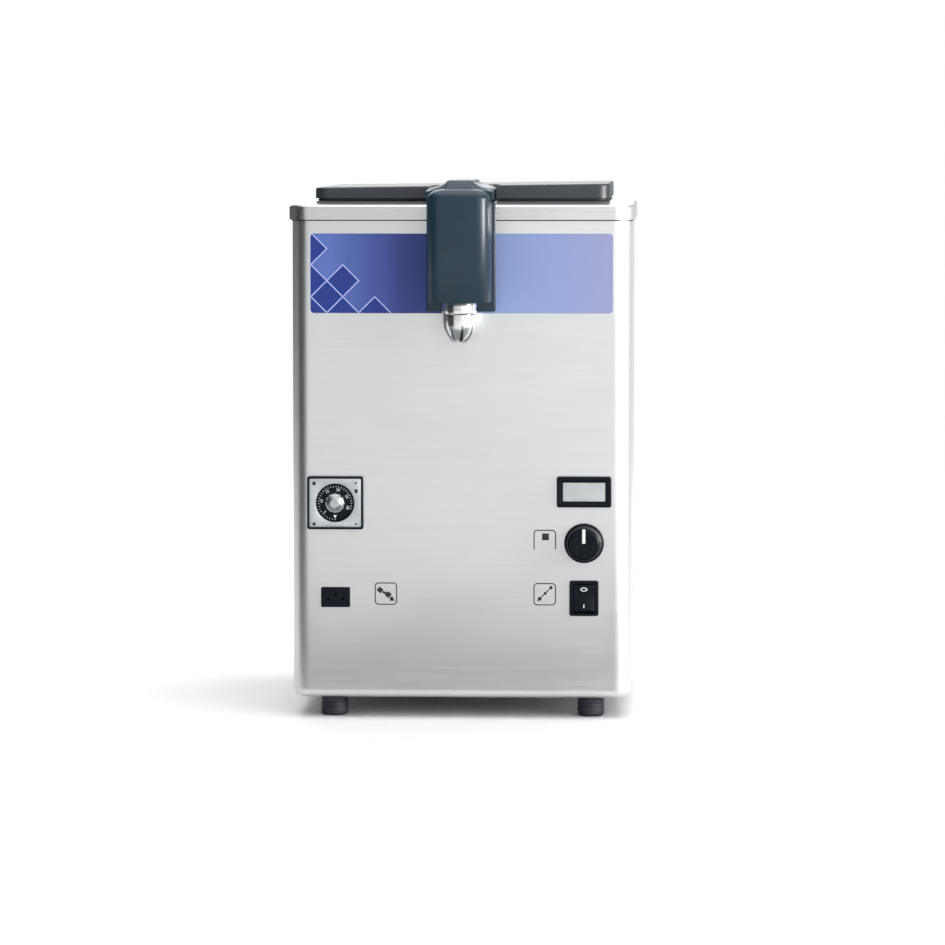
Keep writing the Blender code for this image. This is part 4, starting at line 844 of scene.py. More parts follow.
# ---------------------------------------------------------------- assemblies
@dataclass
class Assembly:
    """A group of pieces that ride on one body and are made and dressed together."""

    body: str = "cabinet"
    made: list[str] = field(default_factory=list)

    def add(self, shape: Shape, name: str, finish: Finish, *nodes: str, body: str | None = None,
            crease: float = CREASE) -> bpy.types.Object:
        """Turns a shape into a dressed piece that rides on a body.

        Args:
            shape: the closed shape, in place.
            name: the piece's name.
            finish: what it is made of.
            nodes: the CAD nodes that it stands for.
            body: the body that it rides on, if not the assembly's own.
            crease: the angle past which an edge is shaded sharp.

        Returns:
            The piece.
        """
        bmesh.ops.remove_doubles(shape, verts=shape.verts, dist=MERGE)
        bmesh.ops.recalc_face_normals(shape, faces=shape.faces)
        mesh = bpy.data.meshes.new(name)
        shape.to_mesh(mesh)
        shape.free()
        mesh.shade_smooth()
        mesh.set_sharp_from_angle(angle=math.radians(crease))
        mesh.materials.clear()
        mesh.materials.append(finish.material())
        mesh.polygons.foreach_set("material_index", [0] * len(mesh.polygons))
        piece = bpy.data.objects.new(name, mesh)
        bpy.context.scene.collection.objects.link(piece)
        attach(piece, body or self.body)
        if nodes:
            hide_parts(*nodes)
        self.made.append(name)
        LOG.info("%s: %s on %s, %d faces", type(self).__name__, name, body or self.body, len(mesh.polygons))
        return piece

    def dress(self, finish: Finish, *nodes: str) -> None:
        """Gives carried-over CAD nodes their real finish.

        Args:
            finish: what the nodes are made of.
            nodes: the CAD nodes that stay as they are.
        """
        for node in nodes:
            slots = frame["nodes"][node].data.materials
            for i in range(len(slots)):
                slots[i] = finish.material()
            self.made.append(node)
            LOG.info("%s: %s keeps its shape, in %s", type(self).__name__, node, finish.name)

    def refine(self, finish: Finish, width: float, *nodes: str, body: str | None = None) -> None:
        """Replaces CAD nodes by merged copies with rounded edges.

        Args:
            finish: what the nodes are made of.
            width: the width of the rounding.
            nodes: the CAD nodes.
            body: the body that they ride on, if not the assembly's own.
        """
        for node in nodes:
            self.add(softened(merged_copy(node), width, 2), node + "_fine", finish, node, body=body)


@dataclass
class Housing(Assembly):
    """Brushed steel housing, folded deck, a painted-shade strip under its skirt, rear cover, feet and
    buffers.
    """

    sheet: float = 1.2 * MM
    corner: float = 15.8 * MM
    bend: float = 8.0 * MM
    flange: float = 6.0 * MM
    deck_corner: float = 18.0 * MM

    def build(self) -> None:
        """Makes every piece of the housing."""
        self.shell()
        self.deck()
        self.skirt_shadow_strip()
        self.rear_cover()
        self.feet()
        self.dress(ZINC_STEEL, "base_pan")

    def wall_rings(self, node: str, levels: Sequence[Point2], radius: float) -> list[list[Point3]]:
        """Draws level rings that follow a node's plan.

        Args:
            node: the CAD node whose box gives the plan.
            levels: pairs of inset and height.
            radius: the corner radius with no inset.

        Returns:
            One ring for each level.
        """
        low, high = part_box(node)
        rings = []
        for inset, z in levels:
            line = rounded_outline((low.x + inset, low.y + inset), (high.x - inset, high.y - inset),
                                   max(radius - inset, 1.5 * MM), 14)
            rings.append([(x, y, z) for x, y in line])
        return rings

    def shell(self) -> None:
        """Wraps the housing's sheet round its bends and cuts its openings and air slots."""
        low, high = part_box("outer_shell")
        bend = [(self.bend * s, low.z + self.bend * c) for c, s in quarter(9)]
        levels = [(self.bend + self.flange, low.z)] + bend + [(0.0, high.z)]
        skin = thickened(skinned(self.wall_rings("outer_shell", levels, self.corner), False,
                                 False), self.sheet)
        margin, stem_hole = 1.7 * MM, 4.5 * MM
        openings = []
        for node in ("timer_case", "thermometer_case", "rocker_frame", "foot_switch_socket"):
            case_low, case_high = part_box(node)
            openings.append(block((case_low.x + margin, low.y - REACH, case_low.z + margin),
                                  (case_high.x - margin, low.y + REACH, case_high.z - margin)))
        x, _, z = middle("air_needle")
        openings.append(moved(drill(stem_hole, -REACH, REACH), on_front(x, low.y, z)))
        back = self.corner + self.flange
        openings.append(block((low.x + back, high.y - REACH, low.z + 2 * self.flange),
                              (high.x - back, high.y + REACH, high.z - 2 * self.flange)))
        slot = softened(block((low.x - REACH, 50 * MM, 60 * MM),
                              (low.x + REACH, 120 * MM, 65 * MM)), 2.2 * MM, 5)
        slots = rowed(slot, BRUSHED_SHEET, 2, 5, Vector((high.x - low.x, 0, 0)), Vector((0, 0, 16 * MM)))
        self.add(carved(skin, *openings, slots), "housing_sheet", BRUSHED_SHEET, "outer_shell")

    def deck(self) -> None:
        """Folds the deck: a skirt, a rolled edge, a border that falls outwards, and its two openings."""
        low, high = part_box("top_deck")
        top = high.z
        edge = [(3.0 * MM * c, top - 2.9 * MM - 3.0 * MM * s) for c, s in quarter(10)]
        levels = [(0.0, low.z), *edge, (9 * MM, top - 1.9 * MM), (21 * MM, top)]
        rings = self.wall_rings("top_deck", levels, self.deck_corner)
        tub_low, tub_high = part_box("tub")
        hole = rounded_outline((tub_low.x + 8.7 * MM, tub_low.y + 7.7 * MM),
                               (tub_high.x - 8.7 * MM, tub_high.y - 8.7 * MM), 6.5 * MM, 14)
        rings.append([(x, y, top) for x, y in hole])
        skin = thickened(skinned(rings, False, False), self.sheet)
        well_low, well_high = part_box("pump_well")
        pump = block((well_low.x, well_low.y, top - REACH), (well_high.x, well_high.y, top + REACH))
        self.add(carved(skin, pump), "folded_deck", BRUSHED_DECK, "top_deck")

    def skirt_shadow_strip(self) -> None:
        """Lays a thin black rubber strip under the deck's skirt: painted shade for the shadow gap there."""
        low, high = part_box("outer_shell")
        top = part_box("top_deck")[0].z - 0.05 * MM
        proud = 0.9 * MM
        lines = [rounded_outline((low.x - out, low.y - out), (high.x + out, high.y + out),
                                 self.corner + out, 14)
                 for out in (proud, 0.02 * MM)]
        # painted shade: this black strip darkens the gap under the skirt
        self.add(collar(lines[0], lines[1], top - 0.9 * MM, top), "skirt_shadow_strip", RUBBER)

    def rear_cover(self) -> None:
        """Makes the rear cover with its air slots, its four screws and the two wall buffers."""
        low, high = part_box("rear_panel")
        plate = softened(block(low, high), 0.35 * MM, 2)
        across, down = Vector((56 * MM, 0, 0)), Vector((0, 0, 14.5 * MM))
        slot = softened(block((-125 * MM, low.y - REACH, 46 * MM),
                              (-77 * MM, high.y + REACH, 52 * MM)), 2.6 * MM, 5)
        left = rowed(slot, BRUSHED_SHEET, 2, 8, across, down)
        slot = softened(block((-40 * MM, low.y - REACH, 250 * MM),
                              (40 * MM, high.y + REACH, 256 * MM)), 2.6 * MM, 5)
        upper = rowed(slot, BRUSHED_SHEET, 1, 4, across, down)
        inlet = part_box("mains_inlet")
        inset = 3.2 * MM
        port = block((inlet[0].x + inset, low.y - REACH, inlet[0].z + inset),
                     (inlet[1].x - inset, high.y + REACH, inlet[1].z - inset))
        self.add(carved(plate, left, upper, port), "rear_cover", BRUSHED_SHEET, "rear_panel")

        first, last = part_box("rear_screw_1"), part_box("rear_screw_4")
        head = turned(((0, 2.9 * MM), (1.4 * MM, 2.8 * MM), (2.6 * MM, 2.2 * MM), (3.4 * MM, 1.2 * MM),
                       (3.8 * MM, 0), (1.8 * MM, 0), (1.8 * MM, -8 * MM), (0, -8.5 * MM)), 32)
        cross = [block((-a, -b, 1.5 * MM), (a, b, 4 * MM))
                 for a, b in ((0.45 * MM, 2.3 * MM), (2.3 * MM, 0.45 * MM))]
        seat = first[1].y - 3 * MM
        x, _, z = middle("rear_screw_1")
        screws = rowed(moved(carved(head, *cross), on_back(x, seat, z)), ZINC_STEEL, 2, 2,
                       Vector((last[0].x - first[0].x, 0, 0)), Vector((0, 0, last[0].z - first[0].z)))
        self.add(screws, "rear_screws", ZINC_STEEL, *(f"rear_screw_{i}" for i in range(1, 5)))

        for side in ("left", "right"):
            node = f"wall_buffer_{side}"
            low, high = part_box(node)
            deep = high.y - low.y
            profile = ((0, deep), (8.0 * MM, deep), (9.2 * MM, deep - 0.4 * MM),
                       (10.0 * MM, deep - 1.5 * MM),
                       (10.6 * MM, 1.8 * MM), (11.6 * MM, 1.2 * MM), (12.0 * MM, 0), (0, 0))
            x, _, z = middle(node)
            self.add(moved(turned(profile, 48), on_back(x, low.y, z)), node + "_moulding", RUBBER, node)

    def feet(self) -> None:
        """Turns the four feet: a hollow sole, a rounded rim, two grip ribs and a neck."""
        for node in (f"foot_{row}_{side}" for row in ("front", "rear") for side in ("left", "right")):
            low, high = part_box(node)
            r, top = (high.x - low.x) / 2, high.z
            profile = [(4.5 * MM, top), (9.5 * MM, top), (9.5 * MM, top - 1.5 * MM),
                       (r - 0.6 * MM, top - 1.5 * MM), (r, top - 2.1 * MM)]
            for z in (12 * MM, 8.5 * MM):
                profile += [(r, z + 0.8 * MM), (r - 0.5 * MM, z + 0.4 * MM), (r - 0.5 * MM, z - 0.4 * MM),
                            (r, z - 0.8 * MM)]
            profile += [(r, 2.6 * MM), (r - 0.6 * MM, 1.0 * MM), (r - 1.9 * MM, 0.0), (r - 4.5 * MM, 0.0),
                        (r - 5.2 * MM, 0.6 * MM), (4.5 * MM, 0.6 * MM)]
            x, y, _ = middle(node)
            self.add(moved(turned(profile, 56, True), Matrix.Translation((x, y, 0))),
                     node + "_moulding", RUBBER, node)


@dataclass
class FrontBand(Assembly):
    """Printed film across the front panel, with lozenges in its lower left corner."""

    radius: float = 3.2 * MM
    print_depth: float = 0.05 * MM
    step: float = 13.9 * MM
    line: float = 0.75 * MM

    def build(self) -> None:
        """Makes the film, then the lozenges and their pale lines as printed layers."""
        low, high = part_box("front_band")
        half, film = half_face("front_band"), high.y - low.y
        x, _, z = middle("front_band")
        place = on_front(x, high.y, z)
        # the film's colour carries painted shade of the head's shadow just left of the head
        self.add(moved(prism(centred_outline(half, 0.0, self.radius, 12), 0, film), place), "band_film",
                 BAND_FILM_WITH_PAINTED_SHADE, "front_band")
        corner = Vector((-half.x, -half.y, 0)) + Vector((0.4, 0.4, 0)) * MM
        inner = centred_outline(half, 0.4 * MM, self.radius - 0.4 * MM, 12)
        for name, finish, outer, hole, lift in (
                ("band_lozenges", LOZENGE_INK, self.step, 0.0, 1.0),
                ("band_lines", LINE_INK, self.step + self.line, self.step - self.line, 1.6)):
            top = film + self.print_depth * lift
            prints = []
            for start, count, pitch in (((0, 0), 3, (1, 1)), ((0, 2), 2, (2, -2)), ((0, 4), 2, (4, -4))):
                stamp = self.lozenge(outer, hole, film / 2, top)
                spot = corner + Vector((start[0], start[1], 0)) * self.step
                prints.append(rowed(moved(stamp, Matrix.Translation(spot)), finish, count, 1,
                                    Vector((*pitch, 0)) * self.step))
            whole = carved(prints[0], *prints[1:], operation="UNION")
            whole = carved(prism(inner, film / 4, film + 1 * MM), whole, operation="INTERSECT")
            self.add(moved(whole, place), name, finish, crease=20)

    def lozenge(self, outer: float, hole: float, low: float, high: float) -> Shape:
        """Makes one lozenge, solid or as a frame.

        Args:
            outer: half its diagonal.
            hole: half the diagonal of its opening, or 0 for none.
            low: its lower height.
            high: its upper height.

        Returns:
            The shape.
        """
        points = [(1, 0), (0, 1), (-1, 0), (0, -1)]
        line = [(x * outer, y * outer) for x, y in points]
        if not hole:
            return prism(line, low, high)
        return collar(line, [(x * hole, y * hole) for x, y in points], low, high)


@dataclass
class Lid(Assembly):
    """Insulated lid with its notch and gasket."""

    body: str = "lid"
    radius: float = 11.0 * MM
    notch_half: float = 29.5 * MM
    notch_back: float = -26.5 * MM

    def outline(self, low: Vector, high: Vector, radius: float, inset: float) -> list[Point2]:
        """Draws the lid's plan with the notch in its front edge.

        Args:
            low: low corner of the plan.
            high: high corner of the plan.
            radius: the corner radius.
            inset: how far the line lies inside the lid's edge.

        Returns:
            The outline, anticlockwise.
        """
        line = rounded_outline((low.x + inset, low.y + inset), (high.x - inset, high.y - inset), radius, 12)
        split = len(line) * 3 // 4
        half, back = self.notch_half + inset, self.notch_back + inset
        front = low.y + inset
        notch = [(-half, front)]
        notch += [(-half + 3 * MM * c, back - 3 * MM * s) for c, s in quarter(15)]
        notch += [(-x, y) for x, y in reversed(notch)]
        return line[:split] + notch + line[split:]

    def build(self) -> None:
        """Makes the lid's moulding and the gasket under it."""
        low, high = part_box("lid")
        fall = 3.5 * MM

        def top(x: float, drop: float) -> float:
            """Gives the height of the sloping top at x."""
            return high.z - fall * (high.x - x) / (high.x - low.x) - drop

        edge = 2.0 * MM
        rings = []
        for step in range(5):
            angle = math.radians(90 - 22.5 * step)
            inset = 0.8 * MM * (1 - math.cos(angle))
            rings.append([(x, y, low.z + 0.8 * MM * (1 - math.sin(math.pi / 2 - angle)))
                          for x, y in self.outline(low, high, self.radius - inset, inset)])
        for c, s in quarter(15):
            inset = edge * c
            rings.append([(x, y, top(x, edge * s))
                          for x, y in self.outline(low, high, self.radius - inset, inset)])
        inset = edge + 0.8 * MM
        rings.append([(x, y, top(x, 0.0)) for x, y in self.outline(low, high, self.radius - inset, inset)])
        self.add(skinned(rings), "lid_moulding", LID_ABS, "lid")
        low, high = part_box("lid_gasket")
        wide = 8.5 * MM
        outer = rounded_outline(low.xy, high.xy, 9 * MM, 12)
        inner = rounded_outline((low.x + wide, low.y + wide), (high.x - wide, high.y - wide), 4 * MM, 12)
        gap = block((-self.notch_half - 2.2 * MM, low.y - 10 * MM, low.z - 5 * MM),
                    (self.notch_half + 2.2 * MM, low.y + 30 * MM, high.z + 5 * MM))
        self.add(softened(carved(collar(outer, inner, low.z, high.z), gap), 0.5 * MM, 3),
                 "lid_gasket_moulding", RUBBER, "lid_gasket")


@dataclass
class WhippingHead(Assembly):
    """Head with its cover, back plate, labyrinth tube and baffle core."""

    body: str = "head"
    half: float = 27.0 * MM
    neck_half: float = 28.5 * MM
    wall: float = 2.0 * MM
    neck_low: float = 452.6 * MM
    shoulder: float = 453.6 * MM
    hip: float = 462.0 * MM
    corner: float = 11.8 * MM

    def build(self) -> None:
        """Makes every piece of the head."""
        self.cover()
        low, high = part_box("head_back_plate")
        self.add(softened(block(low, high), 1.4 * MM, 4), "head_back_moulding", HEAD_ABS, "head_back_plate")
        self.refine(ACETAL, 0.4 * MM, "labyrinth_tube")
        self.dress(ACETAL, "baffle_core")

    def column(self, shrink: float, low: float, y_back: float) -> Shape:
        """Makes the upright front: round corners, and a top that rolls over to the rear.

        Args:
            shrink: how far the form lies inside the outer one.
            low: its lower end.
            y_back: its rear face.

        Returns:
            The closed form.
        """
        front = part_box("head_cover")[0].y
        levels = [(low, 0.0 if shrink else 0.5 * MM), (low + 0.6 * MM, 0.0)]
        for step in range(11):
            angle = math.radians(9 * step)
            levels.append((self.shoulder + (self.hip - self.shoulder) * math.sin(angle) - shrink,
                           14.0 * MM * (1 - math.cos(angle))))
        rings = []
        for z, inset in levels:
            half = self.half - shrink - inset
            corner = max(self.corner - shrink - inset * 0.6, 2.0 * MM)
            line = rounded_outline((-half, front + shrink + inset * 0.8),
                                   (half, y_back + 30 * MM), corner, 14)
            rings.append([(x, min(y, y_back), z) for x, y in line])
        return skinned(rings)

    def bell(self, shrink: float) -> list[Point2]:
        """Draws the neck's section: upright sides, a low shoulder and a narrow raised top.

        Args:
            shrink: how far the section lies inside the outer one.

        Returns:
            The section's points, from its lower right round to its lower left.
        """
        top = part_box("head_cover")[1].z - shrink
        side = self.neck_half - shrink
        knots = [(side, 459.6 * MM - shrink * 0.8), (side - 0.9 * MM, 461.4 * MM - shrink * 0.8),
                 (24.0 * MM - shrink * 0.6, 463.2 * MM - shrink),
                 (17.0 * MM - shrink * 0.4, 465.0 * MM - shrink),
                 (12.6 * MM - shrink * 0.4, 467.2 * MM - shrink),
                 (10.6 * MM - shrink * 0.4, top - 0.6 * MM), (8.6 * MM - shrink * 0.4, top)]
        curve = [(p.x, p.y) for p in eased([(x, z, 0) for x, z in knots], 5)]
        low = self.neck_low if not shrink else self.neck_low - 12 * MM
        right = [(side, low)] + curve
        return right + [(-x, z) for x, z in reversed(right)]

    def neck(self, shrink: float, y_front: float, y_back: float) -> Shape:
        """Makes the neck that runs back over the rim, its end rounded down.

        Args:
            shrink: how far the form lies inside the outer one.
            y_front: where it starts, inside the column.
            y_back: its rear end.

        Returns:
            The closed form.
        """
        stations = [(y_front + 13 * MM * share, 7.5 * MM * (1 - math.sin(share * math.pi / 2)), 0.0)
                    for share in (i / 8 for i in range(9))]
        stations += [(y_back - 9 * MM * math.cos(a), 5.5 * MM * (1 - math.cos(a)),
                      2.5 * MM * (1 - math.cos(a)))
                     for a in (math.radians(10 * i) for i in range(10))]
        base = 459.5 * MM
        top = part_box("head_cover")[1].z
        rings = []
        for y, drop, squeeze in stations:
            ring = []
            for x, z in self.bell(shrink):
                fall = drop * max(0.0, (z - base) / (top - base))
                ring.append((x * (1 - squeeze / self.neck_half), y, z - fall))
            rings.append(ring)
        return skinned(rings)

    def cover(self) -> None:
        """Joins column and neck into one hollow moulding with the outlet in its floor."""
        low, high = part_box("head_cover")
        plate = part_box("head_back_plate")
        y_back = plate[0].y - 0.3 * MM
        axis = middle("nozzle_collar")[1]
        solid = carved(self.column(0.0, low.z, y_back), self.neck(0.0, low.y + 20 * MM, high.y),
                       operation="UNION")
        outlet = moved(drill(13.2 * MM, -REACH, REACH, 64), Matrix.Translation((0, axis, low.z)))
        hollow = carved(solid, self.column(self.wall, low.z + self.wall, y_back + 10 * MM),
                        self.neck(self.wall, low.y + 23 * MM, high.y - self.wall), outlet)
        self.add(hollow, "head_moulding", HEAD_ABS, "head_cover", crease=42)


@dataclass
class Nozzle(Assembly):
    """Bayonet collar and the star nozzle, whose eight teeth repeat one tooth."""

    body: str = "nozzle"
    teeth: int = 8
    first_gap: float = math.radians(13)
    gap_high: float = 15.0 * MM
    wall: float = 1.1 * MM
    tip_radius: float = 6.2 * MM

    def build(self) -> None:
        """Makes the collar and the nozzle."""
        low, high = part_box("nozzle_collar")
        axis = (low.y + high.y) / 2
        r, top = (high.x - low.x) / 2, high.z - 2.0 * MM
        ring = [(9.0 * MM, high.z), (12.5 * MM, high.z), (12.5 * MM, top), (r - 0.9 * MM, top),
                (r - 0.3 * MM, top - 0.3 * MM), (r, top - 0.9 * MM), (r, low.z + 5.4 * MM),
                (r - 0.45 * MM, low.z + 5.0 * MM), (r - 0.45 * MM, low.z + 4.4 * MM), (r, low.z + 4.0 * MM),
                (r, low.z + 1.2 * MM), (r - 0.4 * MM, low.z + 0.4 * MM), (r - 1.2 * MM, low.z),
                (9.0 * MM, low.z)]
        self.add(moved(turned(ring, 96, True), Matrix.Translation((0, axis, 0))), "bayonet_collar",
                 POLISHED_STEEL, "nozzle_collar")
        pitch = math.tau / self.teeth
        star = ringed(moved(self.tooth(pitch), Matrix.Translation((0, axis, 0))), POLISHED_STEEL,
                      self.teeth, (0, axis, 0))
        self.add(star, "star_nozzle_teeth", POLISHED_STEEL, "star_nozzle")

    def radius(self, share: float) -> float:
        """Gives the bulb's outer radius at a share of the way down."""
        top = (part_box("star_nozzle")[1].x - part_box("star_nozzle")[0].x) / 2
        return self.tip_radius + (top - self.tip_radius) * (1 - share ** 3)

    def tooth(self, pitch: float) -> Shape:
        """Makes one eighth of the nozzle: a wall that is whole at its top and narrows to a tooth.

        Args:
            pitch: the angle that one tooth takes.

        Returns:
            The wall's sector, open where it meets its neighbours.
        """
        low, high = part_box("star_nozzle")
        rows, columns = 32, 10
        centre = self.first_gap + pitch / 2
        gap_row = round(rows * (1 - self.gap_high / (high.z - low.z)))
        shape = bmesh.new()
        grid = []
        for row in range(rows + 1):
            share = row / rows
            z = high.z + (low.z - high.z) * share
            outer = self.radius(share)
            open_share = max(0.0, (row - gap_row) / (rows - gap_row))
            gap = math.atan2((0.95 + 0.12 * (outer / MM - 2.2)) * MM * open_share ** 0.6, outer)
            reach = pitch / 2 - gap
            line = []
            for radius in (outer, outer - self.wall):
                line.append([shape.verts.new((radius * math.cos(centre + reach * (2 * c / columns - 1)),
                                              radius * math.sin(centre + reach * (2 * c / columns - 1)), z))
                             for c in range(columns + 1)])
            grid.append(line)
        for row, (above, below) in enumerate(zip(grid, grid[1:])):
            for side in (0, 1):
                for c in range(columns):
                    shape.faces.new((above[side][c], above[side][c + 1], below[side][c + 1],
                                     below[side][c]))
            if row >= gap_row:
                for c in (0, columns):
                    shape.faces.new((above[0][c], below[0][c], below[1][c], above[1][c]))
        for line in (grid[0], grid[-1]):
            for c in range(columns):
                shape.faces.new((line[0][c], line[0][c + 1], line[1][c + 1], line[1][c]))
        return shape


@dataclass
class TimerControl(Assembly):
    """Dial timer: a black frame, a silver plate, and a dial with a scale and a fluted silver hub."""

    rim: float = 1.9 * MM
    well: float = 16.8 * MM
    ticks: int = 30
    numbers: tuple[int, ...] = (5, 10, 15, 20, 25, 30)
    sweep: float = math.radians(290)

    def build(self) -> None:
        """Makes the case, the plate and the dial."""
        low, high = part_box("timer_case")
        x, _, z = middle("timer_dial")
        half = half_face("timer_case")
        face, panel = low.y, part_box("outer_shell")[0].y
        proud = panel - PANEL_GAP - face
        outer, body = centred_outline(half, 0.0, 2.0 * MM), centred_outline(half, CASE_INSET, 1.5 * MM)
        case = carved(softened(prism(outer, 0, proud), 0.5 * MM, 3),
                      prism(body, -(high.y - panel) - PANEL_GAP, 0.5 * MM), operation="UNION")
        sunk = centred_outline(half, self.rim, 1.2 * MM)
        well = drill(self.well, proud - 2.8 * MM, proud + 5 * MM, 96)
        bore = drill(3.2 * MM, -20 * MM, proud, 24)
        place = on_front(x, panel - PANEL_GAP, z)
        self.add(moved(carved(case, prism(sunk, proud - 0.5 * MM, proud + 5 * MM), well, bore), place),
                 "timer_frame", PANEL_NYLON, "timer_case")
        hole = ellipse(self.well, self.well, 72)
        gap = 0.1 * MM
        plate = carved(prism([(px * (1 - gap / half.x), py * (1 - gap / half.y)) for px, py in sunk],
                             proud - 0.5 * MM, proud - 0.1 * MM), prism(hole, 0, proud + 5 * MM))
        self.add(moved(softened(plate, 0.12 * MM, 2), place), "timer_plate", SILVER_FACE)
        self.marks(place, proud - 0.1 * MM)
        self.dial(on_front(x, face, z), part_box("timer_dial")[0])

    def marks(self, place: Matrix, top: float) -> None:
        """Prints the plate's lamp windows and small marks.

        Args:
            place: where the plate's drawing goes.
            top: the height of the plate's face.
        """
        thin = 0.06 * MM
        dots = [moved(drill(r * MM, -thin, thin, 24), Matrix.Translation((px * MM, py * MM, top)))
                for px, py, r in ((-18.3, 16.9, 1.7), (-18.4, -18.4, 1.5), (18.0, -18.4, 0.9),
                                  (18.0, 17.4, 0.9))]
        window = prism(rounded_outline((17.0 * MM, 8.6 * MM), (19.7 * MM, 12.0 * MM), 0.4 * MM, 4),
                       top - thin, top + thin)
        mark = prism(rounded_outline((-7.4 * MM, -20.4 * MM), (-6.0 * MM, -19.9 * MM), 0.1 * MM, 2),
                     top - thin, top + thin)
        dashes = rowed(mark, BLACK_INK, 7, 1, Vector((2.2 * MM, 0, 0)))
        self.add(moved(joined(*dots, window, dashes), place), "timer_plate_marks", BLACK_INK)

    def dial(self, place: Matrix, low: Vector) -> None:
        """Makes the dial's skirt with its white scale, and the fluted hub.

        Args:
            place: where the dial's drawing goes, at the case's face.
            low: the low corner of the CAD dial.
        """
        tall = place.translation.y - low.y
        floor = -1.1 * MM
        skirt = ((0, 0.6 * MM), (8.6 * MM, 0.6 * MM), (14.6 * MM, 0.1 * MM), (15.6 * MM, -0.2 * MM),
                 (16.0 * MM, -0.8 * MM), (16.0 * MM, floor), (2.8 * MM, floor),
                 (2.8 * MM, -7 * MM), (0, -7 * MM))
        self.add(moved(turned(skirt, 96), place), "timer_dial_skirt", PANEL_NYLON, "timer_dial",
                 body="timer_dial")
        thin = 0.05 * MM
        tick = moved(prism(((13.6 * MM, -0.16 * MM), (15.0 * MM, -0.16 * MM), (15.0 * MM, 0.16 * MM),
                            (13.6 * MM, 0.16 * MM)), 0.1 * MM, 0.32 * MM),
                            Matrix.Rotation(-math.pi / 2, 4, "Z"))
        ticks = grown(Repeat.RING, tick, WHITE_INK, Count=self.ticks + 1, Centre=Vector(),
                      Axis=Vector((0, 0, -1)), Step=self.sweep / self.ticks)
        shapes = [ticks]
        for number in self.numbers:
            angle = -math.pi / 2 - self.sweep * number / self.numbers[-1]
            spot = Matrix.Rotation(angle, 4, "Z") @ Matrix.Translation((11.6 * MM, 0, 0.42 * MM + thin))
            shapes.append(moved(figures(str(number), 2.4 * MM),
                                spot @ Matrix.Rotation(-math.pi / 2, 4, "Z")))
        pointer = prism(((-1.5 * MM, -10.6 * MM), (0, -13.4 * MM), (1.5 * MM, -10.6 * MM)),
                        0.3 * MM, 0.6 * MM)
        shapes.append(pointer)
        self.add(moved(joined(*shapes), place), "timer_dial_scale", WHITE_INK, body="timer_dial")
        hub = turned(((0, tall), (3.6 * MM, tall), (4.4 * MM, tall - 0.2 * MM), (5.0 * MM, tall - 0.8 * MM),
                      (7.0 * MM, tall - 1.4 * MM), (7.8 * MM, tall - 2.2 * MM), (8.4 * MM, 1.2 * MM),
                      (8.4 * MM, 0.5 * MM), (0, 0.5 * MM)), 96)
        flute = moved(turned(((0, 0), (1.7 * MM, 0), (2.1 * MM, 12 * MM), (0, 12 * MM)), 20),
                      Matrix.Translation((9.2 * MM, 0, 0.7 * MM)))
        flutes = ringed(flute, SILVER_FACE, 12)
        groove = block((-0.5 * MM, -9 * MM, tall - 0.7 * MM), (0.5 * MM, 0, tall + 1 * MM))
        self.add(moved(carved(hub, flutes, groove), place), "timer_hub", HUB_SILVER, body="timer_dial")


@dataclass(frozen=True)
class PanelSpot:
    """Where a fitting stands on the front panel, and how big its case is."""

    place: Matrix
    half: Vector
    proud: float
    depth: float

    @classmethod
    def of(cls, node: str) -> "PanelSpot":
        """Reads a fitting's spot from the frame.

        Args:
            node: the CAD node of its case.

        Returns:
            The spot.
        """
        low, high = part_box(node)
        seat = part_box("outer_shell")[0].y - PANEL_GAP
        x, _, z = middle(node)
        return cls(on_front(x, seat, z), half_face(node), seat - low.y, high.y - seat)

    def body(self, overlap: float) -> Shape:
        """Makes the body behind the panel, which reaches a little into the rim."""
        x, y = self.half.x - CASE_INSET, self.half.y - CASE_INSET
        return block((-x, -y, -self.depth), (x, y, overlap))


